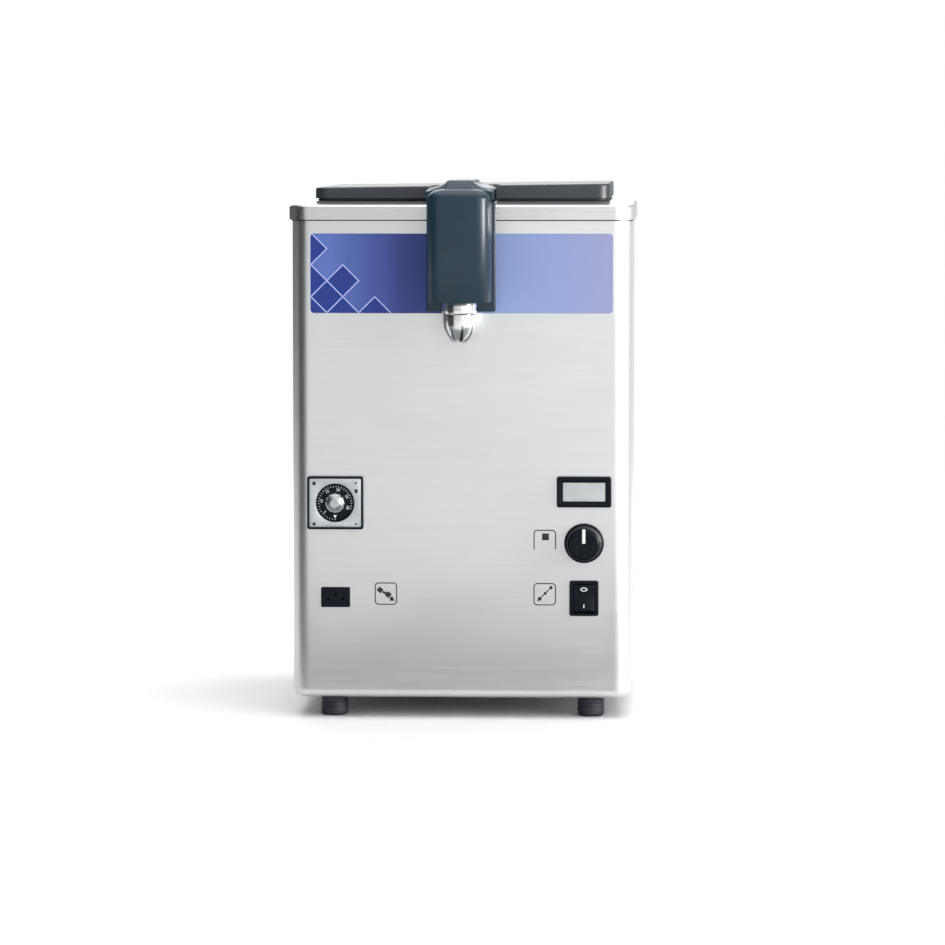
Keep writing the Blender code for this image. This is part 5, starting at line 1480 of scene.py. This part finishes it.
@dataclass
class PanelControls(Assembly):
    """Thermometer, air knob, rocker switch, foot-switch socket and the printed signs beside them."""

    sign_half: float = 9.8 * MM
    sign_line: float = 0.95 * MM
    rocker_rest: float = math.radians(-8)
    mark_lean: float = math.radians(9.9)
    mark_out: float = 7.3 * MM
    mark_high: float = 4.66 * MM

    def build(self) -> None:
        """Makes every control of the front panel but the timer."""
        self.thermometer()
        self.knob()
        self.rocker()
        self.socket()
        self.signs()

    def front(self) -> float:
        """Gives the front panel's outer face."""
        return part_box("outer_shell")[0].y

    def thermometer(self) -> None:
        """Makes the bevelled frame and the blank window, a little domed."""
        spot = PanelSpot.of("thermometer_case")
        half, proud = spot.half, spot.proud
        levels = ((0.0, 0.0), (0.0, proud - 1.0 * MM), (0.3 * MM, proud - 0.3 * MM), (1.0 * MM, proud),
                  (2.6 * MM, proud), (4.6 * MM, proud - 1.0 * MM))
        rings = []
        for inset, height in levels:
            line = centred_outline(half, inset, max(2.0 * MM - inset, 0.5 * MM))
            rings.append([(px, py, height) for px, py in line])
        opening = centred_outline(half_face("thermometer_window"), 0.0, 0.6 * MM)
        case = carved(skinned(rings), spot.body(0.5 * MM), operation="UNION")
        case = carved(case, prism(opening, proud - 2.4 * MM, proud + 5 * MM))
        self.add(moved(case, spot.place), "thermometer_bezel", PANEL_NYLON, "thermometer_case")
        line = [(px * 0.985, py * 0.975) for px, py in opening]
        glass = softened(prism(line, proud - 2.3 * MM, proud - 1.3 * MM), 0.3 * MM, 3)
        self.add(moved(glass, spot.place), "thermometer_glass", DISPLAY_GLASS, "thermometer_window")

    def knob(self) -> None:
        """Turns the knob with its skirt and lets in its white pointer."""
        low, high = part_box("air_knob")
        x, _, z = middle("air_knob")
        r = (high.x - low.x) / 2
        foot = self.front() - 0.6 * MM
        tall = foot - low.y
        stem = foot - high.y
        profile = [(0, tall - 0.5 * MM), (7.0 * MM, tall - 0.35 * MM), (10.8 * MM, tall),
                   (12.0 * MM, tall - 0.1 * MM),
                   (13.0 * MM, tall - 0.5 * MM), (13.8 * MM, tall - 1.2 * MM), (14.3 * MM, tall - 2.2 * MM),
                   (15.2 * MM, 4.4 * MM), (15.7 * MM, 3.4 * MM), (16.6 * MM, 2.7 * MM), (r, 2.0 * MM),
                   (r, 0.3 * MM), (r - 0.3 * MM, 0), (3 * MM, 0), (3 * MM, stem), (0, stem)]
        grip = turned(profile, 120)
        rib = block((15.1 * MM, -0.22 * MM, 5 * MM), (16.0 * MM, 0.22 * MM, tall - 3.2 * MM))
        place = on_front(x, foot, z)
        self.add(moved(carved(grip, ringed(rib, PANEL_NYLON, 48)), place), "air_knob_grip", PANEL_NYLON,
                 "air_knob", body="air_knob")
        bar = prism(rounded_outline((-1.4 * MM, 0.9 * MM), (1.4 * MM, 13.4 * MM), 0.5 * MM, 6),
                    tall - 1.6 * MM, tall + 0.05 * MM)
        self.add(moved(softened(bar, 0.15 * MM, 2), place), "air_knob_pointer", WHITE_INK, body="air_knob")
        self.dress(ALUMINIUM, "air_valve")
        self.dress(POLISHED_STEEL, "air_needle")
        self.dress(CLEAR_HOSE, "air_hose")

    def rocker(self) -> None:
        """Makes the switch's frame and its rocking button with two raised marks."""
        spot = PanelSpot.of("rocker_frame")
        outer = centred_outline(spot.half, 0.0, 1.8 * MM)
        case = carved(softened(prism(outer, 0, spot.proud), 0.8 * MM, 4), spot.body(0.5 * MM),
                      operation="UNION")
        pocket = block((-9.3 * MM, -12.9 * MM, -REACH), (9.3 * MM, 12.9 * MM, REACH))
        self.add(moved(carved(case, pocket), spot.place), "rocker_surround", PANEL_NYLON, "rocker_frame")

        wide = 8.9 * MM
        side = [(3.6, 0.0), (4.1, 4.0), (4.9, 8.6), (5.1, 10.8), (4.7, 11.6), (3.9, 11.8),
                (-3.0, 11.4), (-4.6, 0.0),
                (-3.0, -11.4), (3.9, -11.8), (4.7, -11.6), (5.1, -10.8), (4.9, -8.6), (4.1, -4.0)]
        button = softened(moved(prism([(a * MM, b * MM) for a, b in side], -wide, wide),
                                Matrix(((0, 0, -1, 0), (-1, 0, 0, 0), (0, 1, 0, 0), (0, 0, 0, 1)))),
                                0.35 * MM, 3, 25)
        rest = Matrix.Translation(pivot("power_button")) @ Matrix.Rotation(self.rocker_rest, 4, "X")
        self.add(moved(button, rest), "rocker_key", PANEL_NYLON, "rocker_button", body="power_button")
        oval, inner = ellipse(3.1 * MM, 1.75 * MM, 40), ellipse(2.2 * MM, 0.95 * MM, 40)
        lean = Matrix.Rotation(self.mark_lean, 4, "X")
        upper = moved(collar(oval, inner, -0.15 * MM, 0.08 * MM),
                      Matrix.Translation((0, self.mark_out, self.mark_high)) @ lean)
        lower = moved(block((-0.45 * MM, -1.6 * MM, -0.15 * MM), (0.45 * MM, 1.6 * MM, 0.08 * MM)),
                      Matrix.Translation((0, -self.mark_out, self.mark_high)) @ lean.inverted())
        face = rest @ Matrix.Rotation(math.pi / 2, 4, "X")
        self.add(moved(joined(upper, lower), face), "rocker_marks", WHITE_INK, body="power_button")

    def socket(self) -> None:
        """Makes the foot-switch socket with its sunk face and three pin holes."""
        spot = PanelSpot.of("foot_switch_socket")
        half, proud = spot.half, spot.proud
        outer = centred_outline(half, 0.0, 1.2 * MM)
        case = carved(softened(prism(outer, 0, proud), 0.35 * MM, 3), spot.body(0.3 * MM),
                      operation="UNION")
        face = prism(centred_outline(half, CASE_INSET, 2.4 * MM), proud - 0.7 * MM, proud + 5 * MM)
        pins = [moved(drill(1.3 * MM, -9 * MM, 5 * MM, 28), Matrix.Translation((px * MM, py * MM, 0)))
                for px, py in ((-6.5, -1.8), (0, 2.6), (6.5, -1.8))]
        self.add(moved(carved(case, face, *pins), spot.place), "foot_socket_moulding", PANEL_NYLON,
                 "foot_switch_socket")

    def signs(self) -> None:
        """Prints three plain signs: a foot switch, an air setting and a power line."""
        y = self.front()
        knob_z, low_z = middle("air_knob")[2], middle("rocker_frame")[2] + 3.3 * MM
        for name, x, z, draw in (("foot_switch_sign", -66.0 * MM, low_z, self.foot_drawing),
                                 ("air_sign", 72.6 * MM, knob_z + 1.8 * MM, self.air_drawing),
                                 ("power_sign", 72.6 * MM, low_z, self.power_drawing)):
            frame_line = self.sign_frame()
            if name == "air_sign":
                reach = self.sign_half + 1 * MM
                foot = block((-reach, -reach, -1 * MM), (reach, 2.4 * MM - self.sign_half, 1 * MM))
                frame_line = carved(frame_line, foot)
            self.add(moved(joined(frame_line, *draw()), on_front(x, y, z)), name, BLACK_INK)

    def sign_frame(self) -> Shape:
        """Makes the thin square outline with round corners that every sign has.

        Returns:
            The frame as a thin print.
        """
        half, inner = self.sign_half, self.sign_half - self.sign_line
        return collar(rounded_outline((-half, -half), (half, half), 3.4 * MM, 8),
                      rounded_outline((-inner, -inner), (inner, inner), 2.5 * MM, 8), *INK)

    def stroke(self, start: Point2, end: Point2, wide: float) -> Shape:
        """Prints a straight stroke.

        Args:
            start: one end, in millimetres.
            end: the other end, in millimetres.
            wide: its width, in millimetres.

        Returns:
            The stroke.
        """
        line = Vector(end) - Vector(start)
        side = Vector((-line.y, line.x)).normalized() * wide / 2
        points = [Vector(start) - side, Vector(end) - side, Vector(end) + side, Vector(start) + side]
        return prism([(p.x * MM, p.y * MM) for p in points], *INK)

    def dot(self, x: float, y: float, radius: float) -> Shape:
        """Prints a round dot, in millimetres.

        Args:
            x: the centre in mm, to the right.
            y: the centre in mm, upward.
            radius: its radius in mm.

        Returns:
            The dot as a thin print.
        """
        return prism([((x + radius * math.cos(math.tau * i / 24)) * MM,
                       (y + radius * math.sin(math.tau * i / 24)) * MM)
                      for i in range(24)], *INK)

    def foot_drawing(self) -> list[Shape]:
        """Draws a plug and a pedal.

        Returns:
            The strokes of the drawing.
        """
        return [self.stroke((-7.0, 4.6), (-3.4, 1.8), 4.2), self.stroke((-3.0, 1.6), (0.4, 0.2), 2.0),
                self.stroke((0.4, 0.6), (3.6, -2.4), 4.6), self.dot(5.0, -4.2, 1.6),
                self.stroke((3.6, -5.6), (7.4, -5.6), 1.3)]

    def air_drawing(self) -> list[Shape]:
        """Draws a small solid square under the outline's top."""
        return [self.stroke((-2.4, 3.6), (3.6, 3.6), 6.0)]

    def power_drawing(self) -> list[Shape]:
        """Draws a slanting line through three dots.

        Returns:
            The strokes of the drawing.
        """
        return [self.stroke((-6.4, -6.2), (6.0, 6.4), 0.9), self.dot(-4.4, -4.0, 1.7),
                self.dot(0.4, 0.8, 1.3), self.dot(5.4, 5.8, 1.5)]


@dataclass
class CreamTub(Assembly):
    """Tub, its foam jacket and the evaporator pipe wound round it."""

    corner: float = 5.2 * MM
    wall: float = 1.0 * MM

    def build(self) -> None:
        """Makes the tub and dresses the cooling round it."""
        low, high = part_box("tub")
        inner_low = Vector((low.x + 10 * MM, low.y + 9 * MM))
        inner_high = Vector((high.x - 10 * MM, high.y - 10 * MM))
        levels = [(-10.0 * MM, high.z, 22 * MM), (-1.2 * MM, high.z, 6.4 * MM),
                  (-0.4 * MM, high.z - 0.3 * MM, 5.7 * MM),
                  (0.0, high.z - 1.2 * MM, self.corner), (1.0 * MM, low.z + 8.0 * MM, 4.8 * MM)]
        for step, (c, s) in enumerate(quarter(11.25)[1:], 1):
            levels.append((1.0 * MM + 6.0 * MM * c, low.z + 1 * MM + 6.0 * MM * s,
                           (4.8 - 0.15 * step) * MM))
        rings = []
        for inset, z, radius in levels:
            front = inset if inset > -5 * MM else inset + 1 * MM
            line = rounded_outline((inner_low.x + inset, inner_low.y + front),
                                   (inner_high.x - inset, inner_high.y - inset),
                                   radius, 10)
            rings.append([(x, y, z) for x, y in line])
        sheet = skinned(rings, False, True)
        floor = min(sheet.faces, key=lambda f: f.calc_center_median().z)
        sheet.normal_update()
        if floor.normal.z < 0:
            bmesh.ops.reverse_faces(sheet, faces=sheet.faces)
        self.add(thickened(sheet, self.wall), "drawn_tub", BUFFED_TUB, "tub")
        self.dress(FOAM, "insulation")
        self.dress(COPPER, "evaporator_coil")


@dataclass
class Pump(Assembly):
    """Gear pump in its well, with its cover, gears and tubes."""

    body: str = "head"
    teeth: int = 12
    module: float = 1.25 * MM
    tube: float = 3.0 * MM

    def build(self) -> None:
        """Makes the gears and tubes, and refines the machined parts."""
        self.refine(ACETAL, 0.5 * MM, "pump_body", "pump_cover")
        self.refine(BRUSHED_DECK, 0.25 * MM, "pump_well", body="cabinet")
        self.gear("drive_gear", 0.0)
        self.gear("driven_gear", math.pi + math.pi / self.teeth)
        self.tubes()
        self.refine(POLISHED_STEEL, 0.2 * MM, "drive_shaft", body="motor_shaft")
        self.refine(ZINC_STEEL, 0.4 * MM, "pump_motor", "motor_bracket", body="cabinet")

    def gear(self, node: str, phase: float) -> None:
        """Makes one gear from a single tooth, with its journal taken from the CAD node.

        Args:
            node: the CAD gear.
            phase: the angle of its first tooth.
        """
        x, y, _ = pivot(node)
        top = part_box(node)[1].z
        thick = 10.7 * MM
        pitch_radius = self.module * self.teeth / 2
        outer, root = pitch_radius + 0.92 * self.module, pitch_radius - 1.2 * self.module
        step = math.tau / self.teeth
        place = Matrix.Translation((x, y, 0))
        flank = [(root, -0.5), (root, -0.34), (pitch_radius - 0.3 * self.module, -0.27),
                 (pitch_radius + 0.4 * self.module, -0.19), (outer - 0.1 * MM, -0.12), (outer, -0.09)]
        profile = flank + [(r, -share) for r, share in reversed(flank)]
        line = [(r * math.cos(phase + share * step), r * math.sin(phase + share * step))
                for r, share in profile]
        tooth = bmesh.new()
        upper, lower = ([tooth.verts.new((px, py, z)) for px, py in [(0.0, 0.0), *line]]
                        for z in (top, top - thick))
        for ring in (upper, lower):
            for a, b in zip(ring[1:], ring[2:]):
                tooth.faces.new((ring[0], a, b))
        for i in range(1, len(line)):
            tooth.faces.new((lower[i], lower[i + 1], upper[i + 1], upper[i]))
        gear = ringed(moved(tooth, place), POLISHED_STEEL, self.teeth, (x, y, 0))
        tongued, foot = node == "drive_gear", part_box(node)[0].z
        end = foot + 4.3 * MM if tongued else top - thick - 6 * MM
        shapes = [moved(drill(3 * MM, top - thick + 1 * MM, end, 32), place)]
        if tongued:
            shapes.append(block((x - 1.2 * MM, y - 4.5 * MM, foot),
                                (x + 1.2 * MM, y + 4.5 * MM, foot + 4.6 * MM)))
        self.add(carved(gear, *shapes, operation="UNION"), node + "_hobbed", POLISHED_STEEL,
                 node, body=node)

    def tubes(self) -> None:
        """Bends the suction tube down into the tub and the delivery tube over to the head."""
        for node in ("suction_tube", "delivery_tube"):
            low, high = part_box(node)
            z = high.z - self.tube
            if node == "suction_tube":
                start, end, bend, toward = low.y, high.y - self.tube, 9 * MM, 1
            else:
                start, end, bend, toward = high.y, low.y + self.tube, 6 * MM, -1
            route = [(0.0, start, z), (0.0, (start + end - toward * bend) / 2, z)]
            route += [(0.0, end - toward * bend * s, z - bend * c) for c, s in quarter(10)]
            route.append((0.0, end, low.z))
            pipe = grown(Repeat.PIPE, chain(route), POLISHED_STEEL, Radius=self.tube, Sides=28)
            self.add(pipe, node + "_bent", POLISHED_STEEL, node, crease=50)


@dataclass
class Cooling(Assembly):
    """Compressor, condenser, fan and the pipes between them, and the electrics beside them."""

    fins: int = 41
    blades: int = 5

    def build(self) -> None:
        """Makes the finned block and the rotor, and dresses the rest."""
        self.condenser()
        self.rotor()
        self.refine(BLACK_ENAMEL, 0.8 * MM, "compressor")
        self.refine(ZINC_STEEL, 0.3 * MM, "fan_shroud")
        self.dress(BLACK_ENAMEL, "fan_motor")
        self.dress(COPPER, "condenser_coil", "discharge_line", "suction_line", "filter_drier")
        self.dress(SOLDER_MASK, "control_board")
        self.dress(ACETAL, "run_capacitor")
        self.refine(PANEL_NYLON, 0.6 * MM, "mains_inlet")

    def condenser(self) -> None:
        """Stands thin fins in a row on their spine."""
        low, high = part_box("condenser_fins")
        spine = block((low.x, high.y - 1.6 * MM, low.z), (high.x, high.y, high.z))
        thin = 0.5 * MM
        fin = block((low.x, low.y, low.z), (low.x + thin, high.y - 1.5 * MM, high.z))
        pitch = Vector(((high.x - low.x - thin) / (self.fins - 1), 0, 0))
        fins = rowed(fin, ALUMINIUM, self.fins, 1, pitch)
        self.add(joined(spine, fins), "condenser_fin_block", ALUMINIUM, "condenser_fins")

    def rotor(self) -> None:
        """Sets twisted blades round the fan's hub."""
        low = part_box("fan_blades")[0]
        x, y, z = pivot("fan_rotor")
        reach = 47.5 * MM
        blade = bmesh.new()
        grid = []
        for i in range(11):
            share = i / 10
            radius = 10 * MM + (reach - 10 * MM) * share
            pitch = math.radians(48 - 20 * share)
            chord = (9 + 7 * math.sin(math.pi * min(share * 0.75 + 0.2, 1.0))) * MM
            line = []
            for j in range(9):
                along = (j / 8 - 0.5) * 2 * chord
                camber = 1.6 * MM * (1 - (2 * j / 8 - 1) ** 2)
                out = along * math.sin(pitch) * 0.62 + camber
                swing = along * math.cos(pitch) / max(radius, 14 * MM) + 0.25 * share
                line.append(blade.verts.new((radius * math.cos(swing), radius * math.sin(swing), out)))
            grid.append(line)
        for one, two in zip(grid, grid[1:]):
            for j in range(8):
                blade.faces.new((one[j], two[j], two[j + 1], one[j + 1]))
        blades = ringed(thickened(blade, 1.1 * MM, 0.0), HIDDEN_NYLON, self.blades)
        hub = softened(turned(((0, 6 * MM), (13 * MM, 6 * MM), (13 * MM, -6 * MM), (2 * MM, -6 * MM),
                               (2 * MM, low.y - y), (0, low.y - y)), 64), 0.8 * MM, 3, 60)
        self.add(moved(carved(hub, blades, operation="UNION"), on_back(x, y, z)), "fan_rotor_moulding",
                 HIDDEN_NYLON, "fan_blades", body="fan_rotor", crease=40)


@dataclass
class Studio:
    """Camera, pale floor and soft light, with two dark cards that only reflections show.

    The sky's levels run from the side away from bright_side to bright_side itself.
    """

    eye: Point3 = (0.174, -4.120, 0.5043)
    aim: Point3 = (0.0096, -0.135, 0.2153)
    lens: float = 175.0
    floor_size: float = 5.6
    bright_side: Point3 = (0.906, -0.423, 0.0)
    sky_levels: tuple[Point2, ...] = ((0.0, 0.10), (0.06, 0.10), (0.10, 0.15), (0.16, 0.22),
                                      (0.24, 0.50), (0.30, 0.62),
                                      (0.456, 0.76), (0.71, 0.90), (0.85, 0.88), (1.0, 0.85))

    def build(self) -> None:
        """Sets the lights, the sky, the floor and the two dark cards."""
        self.sky()
        for name, place, aim, size, power in (
                ("key", (1.9, -3.2, 1.5), (0, -0.1, 0.25), 2.4, 36.0),
                ("top", (0.3, 0.0, 3.0), (0, 0, 0.2), 3.2, 60.0),
                ("rear", (-0.6, 3.0, 1.6), (0, 0.1, 0.2), 1.8, 24.0)):
            self.lamp(name, place, aim, size, power)
        strip = self.lamp("strip", (1.3, -0.75, 0.45), (0, 0, 0.3), 0.5, 34.0)
        strip.visible_diffuse = False
        self.floor()
        self.flag("side_flag", "#1B1D20", (-0.85, -0.62, 0.45), (0.7, 0.46, 0.0), 0.44, 0.65)
        self.flag("low_flag", "#858789", (0.0, -0.445, 0.003), (0.0, 0.0, 1.0), 0.9, 0.255)

    def camera(self) -> None:
        """Makes the camera at the viewing angle."""
        made = bpy.data.cameras.new("camera")
        made.lens = self.lens
        made.sensor_width = 36.0
        made.clip_start = 0.1
        made.clip_end = 100.0
        holder = bpy.data.objects.new("camera", made)
        holder.location = self.eye
        holder.rotation_euler = (Vector(self.aim) - Vector(self.eye)).to_track_quat("-Z", "Y").to_euler()
        bpy.context.scene.collection.objects.link(holder)
        bpy.context.scene.camera = holder

    def lamp(self, name: str, place: Point3, aim: Point3, size: float, power: float) -> bpy.types.Object:
        """Hangs one square soft light.

        Args:
            name: its name.
            place: where it hangs.
            aim: the point that it faces.
            size: its side.
            power: its power in watts.

        Returns:
            The lamp's object.
        """
        light = bpy.data.lights.new(name, "AREA")
        light.size = size
        light.energy = power
        holder = bpy.data.objects.new(name, light)
        holder.location = place
        holder.rotation_euler = (Vector(aim) - Vector(place)).to_track_quat("-Z", "Y").to_euler()
        bpy.context.scene.collection.objects.link(holder)
        return holder

    def sky(self) -> None:
        """Lights the room from all round, with plain white behind for the camera alone."""
        world = bpy.data.worlds.new("room")
        bpy.context.scene.world = world
        world.use_nodes = True
        tree = world.node_tree
        tree.nodes.clear()
        place = add_node(tree, "ShaderNodeTexCoord")
        along = add_node(tree, "ShaderNodeVectorMath", {"operation": "DOT_PRODUCT", 1: self.bright_side},
                         {0: place.outputs["Generated"]})
        share = add_node(tree, "ShaderNodeMapRange", {"From Min": -1.0, "From Max": 1.0},
                         {"Value": along.outputs["Value"]})
        ramp = add_node(tree, "ShaderNodeValToRGB", links={"Fac": share.outputs["Result"]})
        while len(ramp.color_ramp.elements) < len(self.sky_levels):
            ramp.color_ramp.elements.new(0.5)
        for element, (spot, level) in zip(ramp.color_ramp.elements, self.sky_levels):
            element.position = spot
            element.color = (level, level, level, 1.0)
        seen = add_node(tree, "ShaderNodeLightPath")
        soft = add_node(tree, "ShaderNodeBackground", {"Strength": 1.0}, {"Color": ramp.outputs["Color"]})
        plain = add_node(tree, "ShaderNodeBackground", {"Strength": 1.0, "Color": linear("#FFFFFF")})
        both = add_node(tree, "ShaderNodeMixShader",
                        links={0: seen.outputs["Is Camera Ray"], 1: soft.outputs[0],
                              2: plain.outputs[0]})
        add_node(tree, "ShaderNodeOutputWorld", links={"Surface": both.outputs[0]})

    def flag(self, name: str, colour: str, centre: Point3, facing: Point3, half_wide: float,
             half_high: float) -> None:
        """Stands a dark card that only shows in reflections, as a studio flag does.

        Args:
            name: its name.
            colour: the colour of its felt.
            centre: its centre.
            facing: the way its face looks.
            half_wide: half its width.
            half_high: half its height.
        """
        mesh = bpy.data.meshes.new(name)
        mesh.from_pydata([(-half_wide, -half_high, 0), (half_wide, -half_high, 0),
                          (half_wide, half_high, 0), (-half_wide, half_high, 0)], [], [(0, 1, 2, 3)])
        turn = Vector(facing).to_track_quat("Z", "Y").to_matrix().to_4x4()
        mesh.transform(Matrix.Translation(centre) @ turn)
        felt = Finish(name + "_felt", "rubber", colour, colour, 0.9, grain_mm=3.0, depth_mm=0.0,
                      mottle_mm=300)
        mesh.materials.append(felt.material())
        card = bpy.data.objects.new(name, mesh)
        bpy.context.scene.collection.objects.link(card)
        card.visible_camera = card.visible_diffuse = card.visible_shadow = card.visible_transmission = False

    def floor(self) -> None:
        """Lays the plain pale floor."""
        half = self.floor_size / 2
        mesh = bpy.data.meshes.new("floor")
        mesh.from_pydata([(-half, -half, 0), (half, -half, 0), (half, half, 0), (-half, half, 0)], [],
                         [(0, 1, 2, 3)])
        pale = Finish("pale_matt_floor", "stainless", "#FAFAFA", "#F4F4F4", 0.7, grain_mm=4.0, depth_mm=0.0,
                      mottle_mm=900)
        mesh.materials.append(pale.material())
        floor = bpy.data.objects.new("floor", mesh)
        bpy.context.scene.collection.objects.link(floor)


def main() -> None:
    """Builds the studio and every assembly, and reports what each one made."""
    logging.basicConfig(level=logging.INFO, format="%(name)s: %(message)s")
    bpy.context.scene.view_settings.view_transform = "Standard"
    studio = Studio()
    studio.camera()
    for part in (Housing(), FrontBand(), TimerControl(), PanelControls(), Lid(), WhippingHead(), Nozzle(),
                 CreamTub(), Pump(), Cooling()):
        part.build()
        LOG.info("%s made %d pieces: %s", type(part).__name__, len(part.made), ", ".join(part.made))
    studio.build()


if __name__ == "__main__":
    main()
